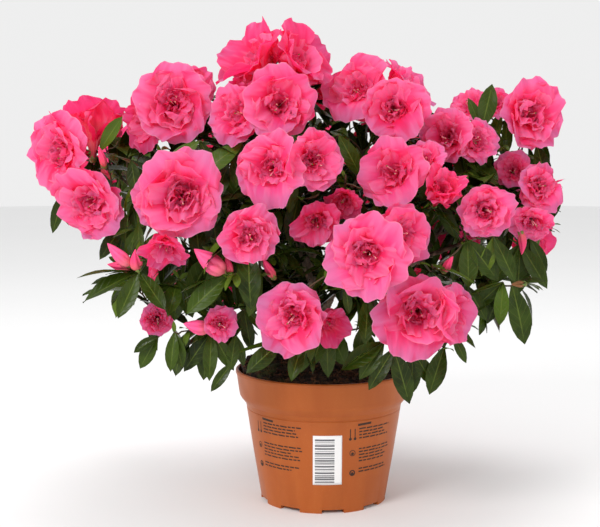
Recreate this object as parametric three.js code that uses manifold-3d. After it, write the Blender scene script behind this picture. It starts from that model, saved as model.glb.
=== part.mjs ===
// A double-flowered azalea shrub in its plastic nursery pot.
// Millimetres, +Z up. The origin is the centre of the pot's underside, on the ground; -Y is the shrub's front.
// Pot and soil stand at the bottom, a short woody stem leaves the soil, main boughs leave the stem, branches
// leave the boughs, and each bough or branch ends in a socket inside one mass of leaves and blossom.
import * as THREE from "three";
import { mergeVertices } from "three/addons/utils/BufferGeometryUtils.js";
import Module from "manifold-3d";

const wasm = await Module();
wasm.setup();

// Pot: a thin moulded cup with a deep lip, standing on a ring of feet and a hub.
const POT_HEIGHT = 97;
const RIM_RADIUS = 65;
const LIP_DROP = 19;
const LIP_FOOT_RADIUS = 62.2;
const SHOULDER_DROP = 25;
const SHOULDER_RADIUS = 57.6;
const BEAD_DROP = 28;
const BEAD_DEPTH = 0.5;
const BASE_RADIUS = 46.5;
const POT_WALL = 1.4;
const FLOOR_TOP = 4.5;
const POT_SIDES = 32;
const FEET = 9;
const FOOT_RISE = 2.6;
const FOOT_SHARE = 0.5;
const FOOT_TURN = 18.5;
const FOOT_DEPTH = 4;
const HUB_RADIUS = 13;
const DRAIN_RADIUS = 3;
const DRAIN_PLACE = 30;
const DRAIN_SIDES = 6;

// Root ball: peat that stands a little above the rim, higher at the back left.
const FIT_GAP = 0.35;
const BALL_RADIUS = 61;
const BALL_CROWN = 101;
const BALL_SIDES = 24;
const BALL_DOME = 4;
const BALL_LEAN = { bearing: 140, rise: 5 };
const BALL_RIDGE = { rise: 1.4, pitch: 9 };
const BALL_RINGS = [1, 0.84, 0.66, 0.46];
const COLLAR_RADIUS = 14;
const COLLAR_BLEND = 2.4;

// Stem: a short woody trunk that leans to the left and flares into its roots.
const STEM = { foot: 11, waist: 7.2, top: 5.6, flare: 9, height: 34, lean: [-4, 1], sides: 14 };
const ROOTS = { count: 5, swell: 0.16 };

// Boughs and branches.
const BOUGH = { base: 3.3, tip: 1.7, arch: 0.16 };
const BRANCH = { base: 2.1, tip: 1.2, arch: 0.1 };
const LIMB_SIDES = 5;
const LIMB_STEPS = 3;
// Where boughs leave the stem, where branches leave a bough, and how far a tip goes into its mass.
const FORK = { low: 0.5, high: 0.92, leader: 0.94, stride: 4 };
const BRANCHING = { first: 0.3, last: 0.66 };
const TIP_SHARE = 0.45;

// Foliage: each mass is an uneven ball with a bulge for every blossom and every hanging spray of leaves.
const BODY_SHARE = 0.88;
const BLOOM_BULGE = 28;
const SPRAY_BULGE = 18;
const MASS_DETAIL = 2;
const MASS_GAP = 0.5;
const UNEVEN = { share: 0.055, pitch: 17 };
// Room kept free of foliage: round the pot, and over the root ball.
const POT_CLEARANCE = 1.5;
const BALL_ROOM = 14;

// at: the centre of the mass, as its place right of and behind the pot's middle and its height over the rim.
// size: its half width.
// blooms and sprays: [bearing from +X, rise above level, reach from the centre] of each bulge.
const MASSES = [
  { name: "left", at: [-152, -12, 142], size: 46,
    blooms: [[214, 30, 56], [127, 56, 50], [257, -15, 52]], sprays: [[191, -32, 50]] },
  { name: "upper_left", at: [-108, -2, 166], size: 46,
    blooms: [[268, 42, 54], [220, 16, 42]], sprays: [] },
  { name: "mid_left", at: [-92, -62, 106], size: 44,
    blooms: [[268, 42, 56], [229, 24, 44], [257, -14, 50]], sprays: [[195, -20, 42]] },
  { name: "low_left", at: [-122, -38, 60], size: 40,
    blooms: [[250, 38, 40], [285, -16, 42]], sprays: [[205, 0, 50], [258, -55, 46], [180, -40, 42]] },
  { name: "low_left_front", at: [-76, -62, 45], size: 42,
    blooms: [[258, 10, 38], [284, 10, 38]], sprays: [[250, -60, 46], [290, -68, 42], [215, -40, 44]] },
  { name: "centre_left", at: [-50, -82, 88], size: 40,
    blooms: [[268, 25, 46], [235, 4, 44]], sprays: [[262, -35, 42]] },
  { name: "top", at: [-32, -2, 196], size: 46,
    blooms: [[222, 48, 52], [318, 48, 52]], sprays: [] },
  { name: "upper_centre", at: [-42, -38, 157], size: 44,
    blooms: [[229, 50, 48], [287, 48, 55]], sprays: [] },
  { name: "centre", at: [-22, -70, 122], size: 42,
    blooms: [[247, 38, 56], [295, 48, 54]], sprays: [] },
  { name: "upper_right", at: [42, -10, 168], size: 48,
    blooms: [[178, 56, 50], [272, 25, 56], [44, 54, 54]], sprays: [] },
  { name: "right_upper", at: [95, -12, 139], size: 42,
    blooms: [[258, 38, 50], [298, 38, 44]], sprays: [] },
  { name: "far_right_upper", at: [130, 16, 155], size: 42,
    blooms: [[308, 46, 50], [175, 60, 46]], sprays: [[250, 62, 48]] },
  { name: "centre_right", at: [66, -52, 114], size: 46,
    blooms: [[237, 34, 58], [277, 62, 44], [283, 30, 46], [309, 7, 52]], sprays: [] },
  { name: "far_right", at: [132, -5, 108], size: 40,
    blooms: [[273, 56, 46], [328, 44, 42], [275, 11, 46]], sprays: [[350, -35, 44]] },
  { name: "front", at: [20, -90, 79], size: 42,
    blooms: [[275, 20, 52], [318, 40, 50], [194, 44, 44]], sprays: [] },
  { name: "low_front_right", at: [62, -78, 36], size: 40,
    blooms: [[262, 24, 50], [314, 24, 42]], sprays: [[312, -50, 46], [262, -56, 42]] },
  { name: "low_front", at: [-14, -78, 41], size: 36,
    blooms: [[258, 18, 50], [303, 14, 42]], sprays: [[285, -50, 36], [235, -50, 34]] },
  { name: "low_right", at: [118, -24, 56], size: 40,
    blooms: [], sprays: [[326, -36, 46], [290, -50, 42], [0, 6, 42]] },
  { name: "back_left", at: [-118, 58, 135], size: 46,
    blooms: [[150, 22, 50], [110, 32, 48], [136, -18, 48]], sprays: [[172, -25, 46]] },
  { name: "back_top_left", at: [-70, 48, 159], size: 46,
    blooms: [[118, 40, 44], [84, 20, 44]], sprays: [] },
  { name: "back_top", at: [4, 56, 163], size: 48,
    blooms: [[90, 24, 50], [58, 44, 42], [128, 42, 42]], sprays: [] },
  { name: "back_right", at: [76, 54, 149], size: 46,
    blooms: [[40, 22, 48], [84, 26, 48], [62, 55, 40]], sprays: [] },
  { name: "back_mid", at: [-38, 94, 113], size: 46,
    blooms: [[92, 12, 50], [120, 32, 46], [66, 34, 44]], sprays: [[104, -28, 44]] },
  { name: "back_mid_right", at: [46, 94, 101], size: 46,
    blooms: [[84, 8, 50], [54, 30, 46], [110, 34, 44]], sprays: [[60, -28, 44]] },
  { name: "back_far_right", at: [120, 54, 105], size: 46,
    blooms: [[28, 14, 48], [62, -10, 48], [15, 46, 42]], sprays: [[344, -28, 44]] },
  { name: "back_low_left", at: [-94, 62, 65], size: 44,
    blooms: [[128, 8, 48], [100, -10, 44]], sprays: [[160, -36, 46], [112, -52, 44]] },
  { name: "back_low", at: [-8, 86, 45], size: 42,
    blooms: [[96, 4, 48], [66, 10, 44]], sprays: [[80, -48, 42], [116, -44, 42]] },
  { name: "back_low_right", at: [82, 68, 51], size: 44,
    blooms: [[48, 0, 48], [80, 8, 44]], sprays: [[30, -44, 46], [66, -52, 42]] },
];

// Each main bough ends in the first mass named, and sends a branch to each of the others.
const BOUGHS = [
  ["left", "low_left", "mid_left", "upper_left"],
  ["low_left_front", "centre_left"],
  ["front", "low_front", "low_front_right"],
  ["centre", "upper_centre"],
  ["top", "upper_right", "back_top_left"],
  ["far_right", "low_right", "centre_right", "right_upper", "far_right_upper"],
  ["back_mid_right", "back_low_right", "back_far_right", "back_right"],
  ["back_left", "back_low_left"],
  ["back_mid", "back_low", "back_top"],
];

const radians = THREE.MathUtils.degToRad;

function middleOf(mass) {
  const [right, behind, up] = mass.at;
  return new THREE.Vector3(right, behind, POT_HEIGHT + up);
}

// A direction from its bearing round +Z and its rise above level.
function direction([bearing, rise]) {
  const level = Math.cos(radians(rise));
  const turn = radians(bearing);
  return new THREE.Vector3(level * Math.cos(turn), level * Math.sin(turn), Math.sin(radians(rise)));
}

// A smooth, repeatable unevenness between -1 and 1.
function ripple(p, pitch) {
  const [x, y, z] = [p.x / pitch, p.y / pitch, p.z / pitch];
  return (Math.sin(2.1 * x + 1.3 * y) + Math.sin(2.7 * y - 1.9 * z + 1) + Math.sin(2.3 * z + 1.7 * x + 2)) / 3;
}

// three.js geometry to a manifold-3d solid, and back.
function solidOf(geometry) {
  const bare = geometry.index ? geometry.toNonIndexed() : geometry.clone();
  bare.deleteAttribute("normal");
  bare.deleteAttribute("uv");
  const merged = mergeVertices(bare, 1e-3);
  const faces = new Uint32Array(merged.index.array);
  return new wasm.Manifold(
    new wasm.Mesh({ numProp: 3, vertProperties: merged.attributes.position.array, triVerts: faces }),
  );
}

function geometryOf(solid) {
  const mesh = solid.getMesh();
  const corners = new Float32Array(mesh.numVert * 3);
  for (let i = 0; i < mesh.numVert; i++) {
    corners.set(mesh.vertProperties.subarray(i * mesh.numProp, i * mesh.numProp + 3), i * 3);
  }
  const geometry = new THREE.BufferGeometry();
  geometry.setAttribute("position", new THREE.BufferAttribute(corners, 3));
  geometry.setIndex(new THREE.BufferAttribute(new Uint32Array(mesh.triVerts), 1));
  return geometry;
}

// What is left of a solid after the cuts, without the crumbs that a cut may leave.
function cutBy(solid, tools) {
  const left = tools.reduce((rest, tool) => rest.subtract(tool), solid);
  return left.decompose().reduce((a, b) => (a.volume() > b.volume() ? a : b));
}

function standing(geometry) {
  return geometry.rotateX(Math.PI / 2);
}

// Pot: one turned profile, then notches between the feet and a drain hole behind each notch.
function potGeometry() {
  const wallAt = (z) => THREE.MathUtils.mapLinear(z, 0, POT_HEIGHT - SHOULDER_DROP, BASE_RADIUS, SHOULDER_RADIUS);
  const bead = POT_HEIGHT - BEAD_DROP;
  const outside = [
    [0, 0],
    [HUB_RADIUS, 0],
    [HUB_RADIUS + 1, FOOT_RISE],
    [BASE_RADIUS - FOOT_DEPTH - 1, FOOT_RISE],
    [BASE_RADIUS - FOOT_DEPTH, 0],
    [BASE_RADIUS, 0],
    [wallAt(bead) - BEAD_DEPTH, bead],
    [wallAt(bead + 1), bead + 1],
    [SHOULDER_RADIUS, POT_HEIGHT - SHOULDER_DROP],
    [LIP_FOOT_RADIUS, POT_HEIGHT - LIP_DROP],
    [RIM_RADIUS, POT_HEIGHT],
  ];
  const inside = [
    [RIM_RADIUS - POT_WALL, POT_HEIGHT],
    [LIP_FOOT_RADIUS - POT_WALL, POT_HEIGHT - LIP_DROP],
    [SHOULDER_RADIUS - POT_WALL, POT_HEIGHT - SHOULDER_DROP - 1],
    [wallAt(FLOOR_TOP) - POT_WALL, FLOOR_TOP],
    [0, FLOOR_TOP],
  ];
  const profile = [...outside, ...inside].map(([r, z]) => new THREE.Vector2(r, z));
  const cup = solidOf(standing(new THREE.LatheGeometry(profile, POT_SIDES)));
  const cutters = [];
  for (let i = 0; i < FEET; i++) {
    const turn = (360 / FEET) * (i + 0.5) + FOOT_TURN;
    const width = ((2 * Math.PI * BASE_RADIUS) / FEET) * (1 - FOOT_SHARE);
    const notch = new THREE.BoxGeometry(3 * FOOT_DEPTH, width, 2 * FOOT_RISE);
    notch.translate(BASE_RADIUS, 0, 0).rotateZ(radians(turn));
    const drain = standing(new THREE.CylinderGeometry(DRAIN_RADIUS, DRAIN_RADIUS, 3 * FLOOR_TOP, DRAIN_SIDES));
    drain.translate(DRAIN_PLACE, 0, FLOOR_TOP).rotateZ(radians(turn));
    cutters.push(solidOf(notch), solidOf(drain));
  }
  return geometryOf(cutBy(cup, cutters));
}

// The root ball's top: level in the collar round the stem, and uneven and leaning outside it.
function ballTop(x, y) {
  const r = Math.hypot(x, y);
  const open = THREE.MathUtils.smoothstep(r, COLLAR_RADIUS, COLLAR_BLEND * COLLAR_RADIUS);
  const side = direction([BALL_LEAN.bearing, 0]);
  const lean = (BALL_LEAN.rise * (x * side.x + y * side.y)) / BALL_RADIUS;
  const drop = BALL_DOME * (r / BALL_RADIUS) ** 4;
  return BALL_CROWN - drop + open * (lean + BALL_RIDGE.rise * ripple({ x, y, z: 0 }, BALL_RIDGE.pitch));
}

function soilGeometry() {
  const skin = POT_WALL + FIT_GAP;
  const floor = FLOOR_TOP + FIT_GAP;
  const lower = [
    [0, floor],
    [BASE_RADIUS - skin - 0.6, floor],
    [SHOULDER_RADIUS - skin - 0.6, POT_HEIGHT - SHOULDER_DROP - 2],
    [LIP_FOOT_RADIUS - skin - 0.9, POT_HEIGHT - LIP_DROP],
  ];
  const upper = [...BALL_RINGS.map((share) => share * BALL_RADIUS), COLLAR_RADIUS, 0];
  const profile = [...lower, ...upper.map((r) => [r, BALL_CROWN])].map(([r, z]) => new THREE.Vector2(r, z));
  const geometry = standing(new THREE.LatheGeometry(profile, BALL_SIDES));
  const place = geometry.attributes.position;
  for (let i = 0; i < place.count; i++) {
    if (place.getZ(i) > BALL_CROWN - 1) place.setZ(i, ballTop(place.getX(i), place.getY(i)));
  }
  return geometry;
}

// Any straight upright geometry, bent so that its height runs along a curve from end to end.
function bentAlong(geometry, curve, radiusAt, skin) {
  const place = geometry.attributes.position;
  const frames = curve.computeFrenetFrames(LIMB_STEPS * 4, false);
  for (let i = 0; i < place.count; i++) {
    const t = THREE.MathUtils.clamp(place.getZ(i), 0, 1);
    const step = Math.round(t * LIMB_STEPS * 4);
    const grow = radiusAt(t) + skin;
    const overrun = t === 0 ? -skin : t === 1 ? skin : 0;
    const p = curve.getPointAt(t).addScaledVector(frames.tangents[step], overrun);
    p.addScaledVector(frames.normals[step], place.getX(i) * grow);
    p.addScaledVector(frames.binormals[step], place.getY(i) * grow);
    place.setXYZ(i, p.x, p.y, p.z);
  }
  return geometry;
}

function limbSolid(limb, skin = 0) {
  const rod = standing(new THREE.CylinderGeometry(1, 1, 1, limb.sides, LIMB_STEPS)).translate(0, 0, 0.5);
  const bent = bentAlong(rod, limb.curve, limb.radiusAt, skin);
  const solid = solidOf(bent);
  if (solid.volume() > 0) return solid;
  throw new Error(limb.name + " is inside out");
}

// Stem: from a flat cut on the root ball up to the fork.
const STEM_FOOT = new THREE.Vector3(0, 0, ballTop(0, 0) + FIT_GAP);
const STEM_TOP = STEM_FOOT.clone().add(new THREE.Vector3(...STEM.lean, STEM.height));
const stem = {
  name: "stem",
  sides: STEM.sides,
  curve: new THREE.LineCurve3(STEM_FOOT, STEM_TOP),
  radiusAt: (t) => {
    const climb = t * STEM.height;
    const flare = (STEM.foot - STEM.waist) * Math.exp(-climb / (STEM.flare / 2));
    return THREE.MathUtils.lerp(STEM.waist, STEM.top, t) + flare;
  },
};

function stemGeometry(skin = 0) {
  const rod = standing(new THREE.CylinderGeometry(1, 1, 1, stem.sides, LIMB_STEPS)).translate(0, 0, 0.5);
  const place = rod.attributes.position;
  for (let i = 0; i < place.count; i++) {
    const t = THREE.MathUtils.clamp(place.getZ(i), 0, 1);
    const turn = Math.atan2(place.getY(i), place.getX(i));
    const root = 1 + ROOTS.swell * (1 - t) ** 6 * Math.sin(ROOTS.count * turn);
    const grow = stem.radiusAt(t) * root + skin;
    const p = stem.curve.getPointAt(t);
    const reach = t === 1 ? skin : 0;
    place.setXYZ(i, p.x + place.getX(i) * grow, p.y + place.getY(i) * grow, p.z + reach);
  }
  return rod;
}

// Limbs: a bough arches from the stem to its mass, and a branch from its bough to another mass.
function limbTo(mass, from, kind, name) {
  const centre = middleOf(mass);
  const reach = centre.clone().sub(from);
  const end = centre.clone().addScaledVector(reach.clone().normalize(), -TIP_SHARE * mass.size);
  const length = from.distanceTo(end);
  const bend = from.clone().lerp(end, 0.5).add(new THREE.Vector3(0, 0, kind.arch * length));
  return {
    name,
    sides: LIMB_SIDES,
    curve: new THREE.QuadraticBezierCurve3(from, bend, end),
    radiusAt: (t) => THREE.MathUtils.lerp(kind.base, kind.tip, t),
  };
}

const massNamed = Object.fromEntries(MASSES.map((mass) => [mass.name, mass]));
const boughs = [];
const branches = [];
BOUGHS.forEach(([main, ...others], i) => {
  const turn = ((i * FORK.stride) % BOUGHS.length) / (BOUGHS.length - 1);
  const share = main === "top" ? FORK.leader : THREE.MathUtils.lerp(FORK.low, FORK.high, turn);
  const start = STEM_FOOT.clone().lerp(STEM_TOP, share);
  const bough = limbTo(massNamed[main], start, BOUGH, "bough_" + main);
  boughs.push(bough);
  others.forEach((other, j) => {
    const along = j / Math.max(others.length - 1, 1);
    const leave = bough.curve.getPointAt(THREE.MathUtils.lerp(BRANCHING.first, BRANCHING.last, along));
    branches.push(limbTo(massNamed[other], leave, BRANCH, "branch_" + other));
  });
});

// Masses: the far edge of each ball and its bulges, kept short of every neighbouring mass.
function bulgeReach(ray, [bearing, rise, reach], radius) {
  const centre = direction([bearing, rise]).multiplyScalar(reach - radius / 2);
  const along = ray.dot(centre);
  const inside = along ** 2 - centre.lengthSq() + radius ** 2;
  return inside > 0 ? along + Math.sqrt(inside) : 0;
}

function massGeometry(mass) {
  const centre = middleOf(mass);
  const geometry = new THREE.IcosahedronGeometry(1, MASS_DETAIL);
  const place = geometry.attributes.position;
  const ray = new THREE.Vector3();
  for (let i = 0; i < place.count; i++) {
    ray.fromBufferAttribute(place, i).normalize();
    let reach = mass.size * BODY_SHARE;
    for (const bloom of mass.blooms) reach = Math.max(reach, bulgeReach(ray, bloom, BLOOM_BULGE));
    for (const spray of mass.sprays) reach = Math.max(reach, bulgeReach(ray, spray, SPRAY_BULGE));
    const there = ray.clone().multiplyScalar(reach).add(centre);
    reach *= 1 + UNEVEN.share * ripple(there, UNEVEN.pitch);
    for (const other of MASSES) {
      if (other === mass) continue;
      const across = middleOf(other).sub(centre);
      const apart = across.length();
      const plane = (apart ** 2 + mass.size ** 2 - other.size ** 2) / (2 * apart) - MASS_GAP / 2;
      const facing = ray.dot(across) / apart;
      if (facing > 0) reach = Math.min(reach, plane / facing);
    }
    place.setXYZ(i, ...ray.multiplyScalar(reach).add(centre).toArray());
  }
  return geometry;
}

// Assembly.
const shrub = new THREE.Group();
const finishes = {
  pot: new THREE.MeshStandardMaterial({ color: 0xb5622f, roughness: 0.45, metalness: 0 }),
  peat: new THREE.MeshStandardMaterial({ color: 0x2c1c12, roughness: 0.95, metalness: 0 }),
  bark: new THREE.MeshStandardMaterial({ color: 0x5b4330, roughness: 0.9, metalness: 0 }),
  foliage: new THREE.MeshStandardMaterial({ color: 0xc2466f, roughness: 0.6, metalness: 0 }),
};

function add(name, geometry, finish) {
  const mesh = new THREE.Mesh(geometry, finish);
  mesh.name = name;
  shrub.add(mesh);
}

add("pot", potGeometry(), finishes.pot);
add("soil", soilGeometry(), finishes.peat);
add("stem", stemGeometry(), finishes.bark);

const cleared = [solidOf(stemGeometry(FIT_GAP))];
for (const limb of [...boughs, ...branches]) {
  add(limb.name, geometryOf(cutBy(limbSolid(limb), cleared)), finishes.bark);
  cleared.push(limbSolid(limb, FIT_GAP));
}

const potHeadroom = POT_HEIGHT + POT_CLEARANCE;
const potRoom = new THREE.CylinderGeometry(RIM_RADIUS + POT_CLEARANCE, BASE_RADIUS, potHeadroom, BALL_SIDES);
const ballRoom = new THREE.CylinderGeometry(BALL_RADIUS, BALL_RADIUS, BALL_ROOM, BALL_SIDES);
const kept = [
  ...cleared,
  solidOf(standing(potRoom).translate(0, 0, potHeadroom / 2)),
  solidOf(standing(ballRoom).translate(0, 0, POT_HEIGHT + BALL_ROOM / 2)),
];
for (const mass of MASSES) {
  add("foliage_" + mass.name, geometryOf(cutBy(solidOf(massGeometry(mass)), kept)), finishes.foliage);
}

export default shrub;
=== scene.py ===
import math

import bmesh
import bpy
import numpy as np
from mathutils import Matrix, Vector
from mathutils.bvhtree import BVHTree


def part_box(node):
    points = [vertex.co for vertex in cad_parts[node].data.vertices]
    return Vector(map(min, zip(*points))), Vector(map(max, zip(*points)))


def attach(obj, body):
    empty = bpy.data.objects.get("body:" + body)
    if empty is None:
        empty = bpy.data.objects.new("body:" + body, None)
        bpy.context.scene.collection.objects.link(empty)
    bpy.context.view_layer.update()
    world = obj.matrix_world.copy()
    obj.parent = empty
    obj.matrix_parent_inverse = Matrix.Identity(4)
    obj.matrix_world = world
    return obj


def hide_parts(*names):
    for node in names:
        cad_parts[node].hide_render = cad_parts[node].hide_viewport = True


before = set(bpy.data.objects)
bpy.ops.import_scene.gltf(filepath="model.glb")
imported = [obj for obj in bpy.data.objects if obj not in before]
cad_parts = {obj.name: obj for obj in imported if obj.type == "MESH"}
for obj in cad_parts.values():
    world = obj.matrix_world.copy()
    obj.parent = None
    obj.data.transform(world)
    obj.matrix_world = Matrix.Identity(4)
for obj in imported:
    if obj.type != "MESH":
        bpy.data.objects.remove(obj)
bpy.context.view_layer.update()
bpy.ops.object.select_all(action="DESELECT")


# The stand: a plain pale floor under a soft even sky, a large soft lamp on each side of the front and one
# overhead. The camera looks a little down on the front of the shrub.
MM = 0.001
EYE = Vector((-17.5, -885, 266)) * MM
LOOK_DOWN = math.radians(5.92)
LENS, SENSOR = 72.66, 36.0
FLOOR_RADIUS, SKY_STRENGTH = 4.0, 0.86
LIT_PLACE = Vector((0, 0, 0.2))

camera = bpy.data.cameras.new("front_camera")
camera.lens, camera.sensor_width = LENS, SENSOR
viewer = bpy.data.objects.new("front_camera", camera)
viewer.location = EYE
viewer.rotation_euler = (math.pi / 2 - LOOK_DOWN, 0, 0)
bpy.context.scene.collection.objects.link(viewer)
bpy.context.scene.camera = viewer
bpy.context.scene.view_settings.view_transform = "Standard"


class Value:
    """A shader socket that plain arithmetic adds Math nodes to."""

    def __init__(self, sheet, socket):
        self.sheet, self.socket = sheet, socket

    def sum_of(self, operation, first, second):
        return self.sheet.node("ShaderNodeMath", {"operation": operation}, {0: first, 1: second})

    def __add__(self, other):
        return self.sum_of("ADD", self, other)

    def __sub__(self, other):
        return self.sum_of("SUBTRACT", self, other)

    def __rsub__(self, other):
        return self.sum_of("SUBTRACT", other, self)

    def __mul__(self, other):
        return self.sum_of("MULTIPLY", self, other)

    def __truediv__(self, other):
        return self.sum_of("DIVIDE", self, other)

    def __mod__(self, other):
        return self.sum_of("FLOORED_MODULO", self, other)

    def __abs__(self):
        return self.sum_of("ABSOLUTE", self, 0.0)

    __radd__, __rmul__ = __add__, __mul__


class Finish:
    """One material: its nodes are added by node(), and what varies is given to its surface."""

    def __init__(self, name, **constants):
        self.material = bpy.data.materials.new(name)
        self.material.use_nodes = True
        self.nodes, self.links = self.material.node_tree.nodes, self.material.node_tree.links
        self.surface = self.nodes["Principled BSDF"]
        for socket, value in constants.items():
            self.surface.inputs[socket.replace("_", " ")].default_value = value

    def node(self, kind, settings=None, inputs=None, output=0):
        """Adds a node: its settings come first, then a value or a link for each of its sockets."""
        node = self.nodes.new(kind)
        for name, value in (settings or {}).items():
            if name == "stops":
                ramp = node.color_ramp.elements
                while len(ramp) < len(value):
                    ramp.new(1.0)
                for stop, (place, colour) in zip(ramp, value):
                    stop.position, stop.color = place, (*colour, 1.0)
            else:
                setattr(node, name, value)
        for name, value in (inputs or {}).items():
            if isinstance(value, Value):
                self.links.new(value.socket, node.inputs[name])
            else:
                node.inputs[name].default_value = value
        return Value(self, node.outputs[output])

    def vary(self, **sockets):
        for socket, value in sockets.items():
            self.links.new(value.socket, self.surface.inputs[socket.replace("_", " ")])
        return self.material

    def let_light_through(self, share, colour):
        """Mixes in a thin translucent skin, so that light behind the surface shows through it."""
        skin = self.node("ShaderNodeBsdfTranslucent", None, {"Color": (*colour, 1.0)})
        mix = self.nodes.new("ShaderNodeMixShader")
        mix.inputs[0].default_value = share
        self.links.new(self.surface.outputs[0], mix.inputs[1])
        self.links.new(skin.socket, mix.inputs[2])
        self.links.new(mix.outputs[0], self.nodes["Material Output"].inputs["Surface"])
        return self.material

    def place(self, scale=(1, 1, 1)):
        spot = self.node("ShaderNodeTexCoord", output="Object")
        return self.node("ShaderNodeMapping", None, {"Vector": spot, "Scale": scale})

    def noise(self, scale, detail=2.0, place=None):
        spots = {"Vector": place or self.place(), "Scale": scale, "Detail": detail}
        return self.node("ShaderNodeTexNoise", None, spots)

    def step(self, value, low, high, bottom=0.0, top=1.0):
        ends = {"Value": value, "From Min": low, "From Max": high, "To Min": bottom, "To Max": top}
        return self.node("ShaderNodeMapRange", {"interpolation_type": "SMOOTHSTEP"}, ends)

    def blend(self, share, first, second):
        """From the first colour to the second; the colours of a Mix node are its sockets 6 and 7."""
        first, second = (hue if isinstance(hue, Value) else (*hue, 1.0) for hue in (first, second))
        return self.node("ShaderNodeMix", {"data_type": "RGBA"}, {0: share, 6: first, 7: second}, output=2)

    def bump(self, height, strength, distance):
        sockets = {"Height": height, "Strength": strength, "Distance": distance}
        return self.node("ShaderNodeBump", None, sockets)


def floor_finish():
    finish = Finish("floor_paint", Roughness=0.85, Specular_IOR_Level=0.1)
    cloud = finish.noise(3.0)
    return finish.vary(Base_Color=finish.blend(cloud, (0.86, 0.86, 0.86), (0.88, 0.88, 0.88)))


def keep(piece):
    piece.select_set(False)
    return piece


bpy.ops.mesh.primitive_circle_add(vertices=96, radius=FLOOR_RADIUS, fill_type="NGON", location=(0, 0, 0))
floor = bpy.context.object
floor.name = "floor"
floor.data.materials.append(floor_finish())
keep(floor)

sky = bpy.data.worlds.new("studio_sky")
sky.use_nodes = True
sky.node_tree.nodes["Background"].inputs["Color"].default_value = (1.0, 1.0, 1.0, 1.0)
sky.node_tree.nodes["Background"].inputs["Strength"].default_value = SKY_STRENGTH
bpy.context.scene.world = sky


def soft_lamp(name, place, size, watts):
    lamp = bpy.data.lights.new(name, "AREA")
    lamp.shape, lamp.size, lamp.energy = "DISK", size, watts
    holder = bpy.data.objects.new(name, lamp)
    holder.location = place
    holder.rotation_euler = (LIT_PLACE - Vector(place)).to_track_quat("-Z", "Y").to_euler()
    bpy.context.scene.collection.objects.link(holder)


soft_lamp("lamp_left", (-0.9, -1.2, 1.1), 0.6, 16)
soft_lamp("lamp_right", (1.1, -1.0, 0.7), 0.9, 2.5)
soft_lamp("lamp_over", (0.1, 0.1, 1.6), 0.8, 7)


# Pot: a thin moulded cup of terracotta-coloured plastic with a deep lip round its top, a shoulder and a fine
# bead below it, and nine feet and a hub under its floor, with a drain hole behind each gap between the feet.
_, POT_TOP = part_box("pot")
RIM_RADIUS, RIM_HEIGHT = POT_TOP.x, POT_TOP.z
POT_TURNS = 144
WALL = 1.4 * MM
FOOT_RISE, FOOT_DEPTH, FOOT_COUNT, FOOT_TURN = 2.6 * MM, 4 * MM, 9, 18.5
BASE_RADIUS, SHOULDER_RADIUS = RIM_RADIUS - 18.5 * MM, RIM_RADIUS - 7.4 * MM
SHOULDER_HEIGHT, LIP_HEIGHT, BEAD_HEIGHT = RIM_HEIGHT - 25 * MM, RIM_HEIGHT - 19 * MM, RIM_HEIGHT - 28 * MM
HUB_RADIUS, DRAIN_RADIUS, DRAIN_PLACE, FLOOR_TOP = 13 * MM, 3 * MM, 30 * MM, 4.5 * MM


def wall_radius(height):
    """The outside of the tapered wall between the feet and the shoulder."""
    return BASE_RADIUS + (SHOULDER_RADIUS - BASE_RADIUS) * height / SHOULDER_HEIGHT


def settle(piece):
    """Puts a finished piece's place and turn into its mesh, and lets go of it."""
    bpy.ops.object.transform_apply(location=True, rotation=True, scale=True)
    piece.data.shade_smooth()
    return keep(piece)


def finish_with(piece, kind, **settings):
    """Adds a modifier and applies it."""
    modifier = piece.modifiers.new(kind.lower(), kind)
    for name, value in settings.items():
        setattr(modifier, name, value)
    bpy.context.view_layer.objects.active = piece
    bpy.ops.object.modifier_apply(modifier=modifier.name)


def turned_shell(name, profile, turns):
    """A round shell: a ring at the profile's first place, pulled up and resized to each place after it."""
    radius, height = profile[0]
    start = (0, 0, height)
    bpy.ops.mesh.primitive_circle_add(vertices=turns, radius=radius, fill_type="NOTHING", location=start)
    piece = bpy.context.object
    piece.name = name
    bpy.ops.object.mode_set(mode="EDIT")
    bpy.ops.mesh.select_all(action="SELECT")
    for next_radius, next_height in profile[1:]:
        grow = next_radius / radius
        bpy.ops.mesh.extrude_region_move(TRANSFORM_OT_translate={"value": (0, 0, next_height - height)})
        bpy.ops.transform.resize(value=(grow, grow, 1), center_override=(0, 0, next_height))
        radius, height = next_radius, next_height
    bpy.ops.mesh.select_all(action="SELECT")
    bpy.ops.mesh.fill_holes(sides=0)
    bpy.ops.mesh.normals_make_consistent(inside=False)
    bpy.ops.object.mode_set(mode="OBJECT")
    bpy.ops.object.transform_apply(location=True)
    return piece


def pull_down_feet(piece):
    """The band round the underside goes down to the ground at each foot."""
    bpy.ops.object.mode_set(mode="EDIT")
    bpy.ops.mesh.select_all(action="DESELECT")
    shell = bmesh.from_edit_mesh(piece.data)
    step = 360 / FOOT_COUNT
    for face in shell.faces:
        centre = face.calc_center_median()
        out = math.hypot(centre.x, centre.y)
        level = abs(centre.z - FOOT_RISE) < 0.1 * MM and BASE_RADIUS - FOOT_DEPTH < out < BASE_RADIUS
        bearing = math.degrees(math.atan2(centre.y, centre.x)) - FOOT_TURN
        face.select_set(level and abs((bearing + step / 2) % step - step / 2) < step / 4)
    bmesh.update_edit_mesh(piece.data)
    bpy.ops.mesh.extrude_region_move(TRANSFORM_OT_translate={"value": (0, 0, -FOOT_RISE)})
    bpy.ops.object.mode_set(mode="OBJECT")


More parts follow.
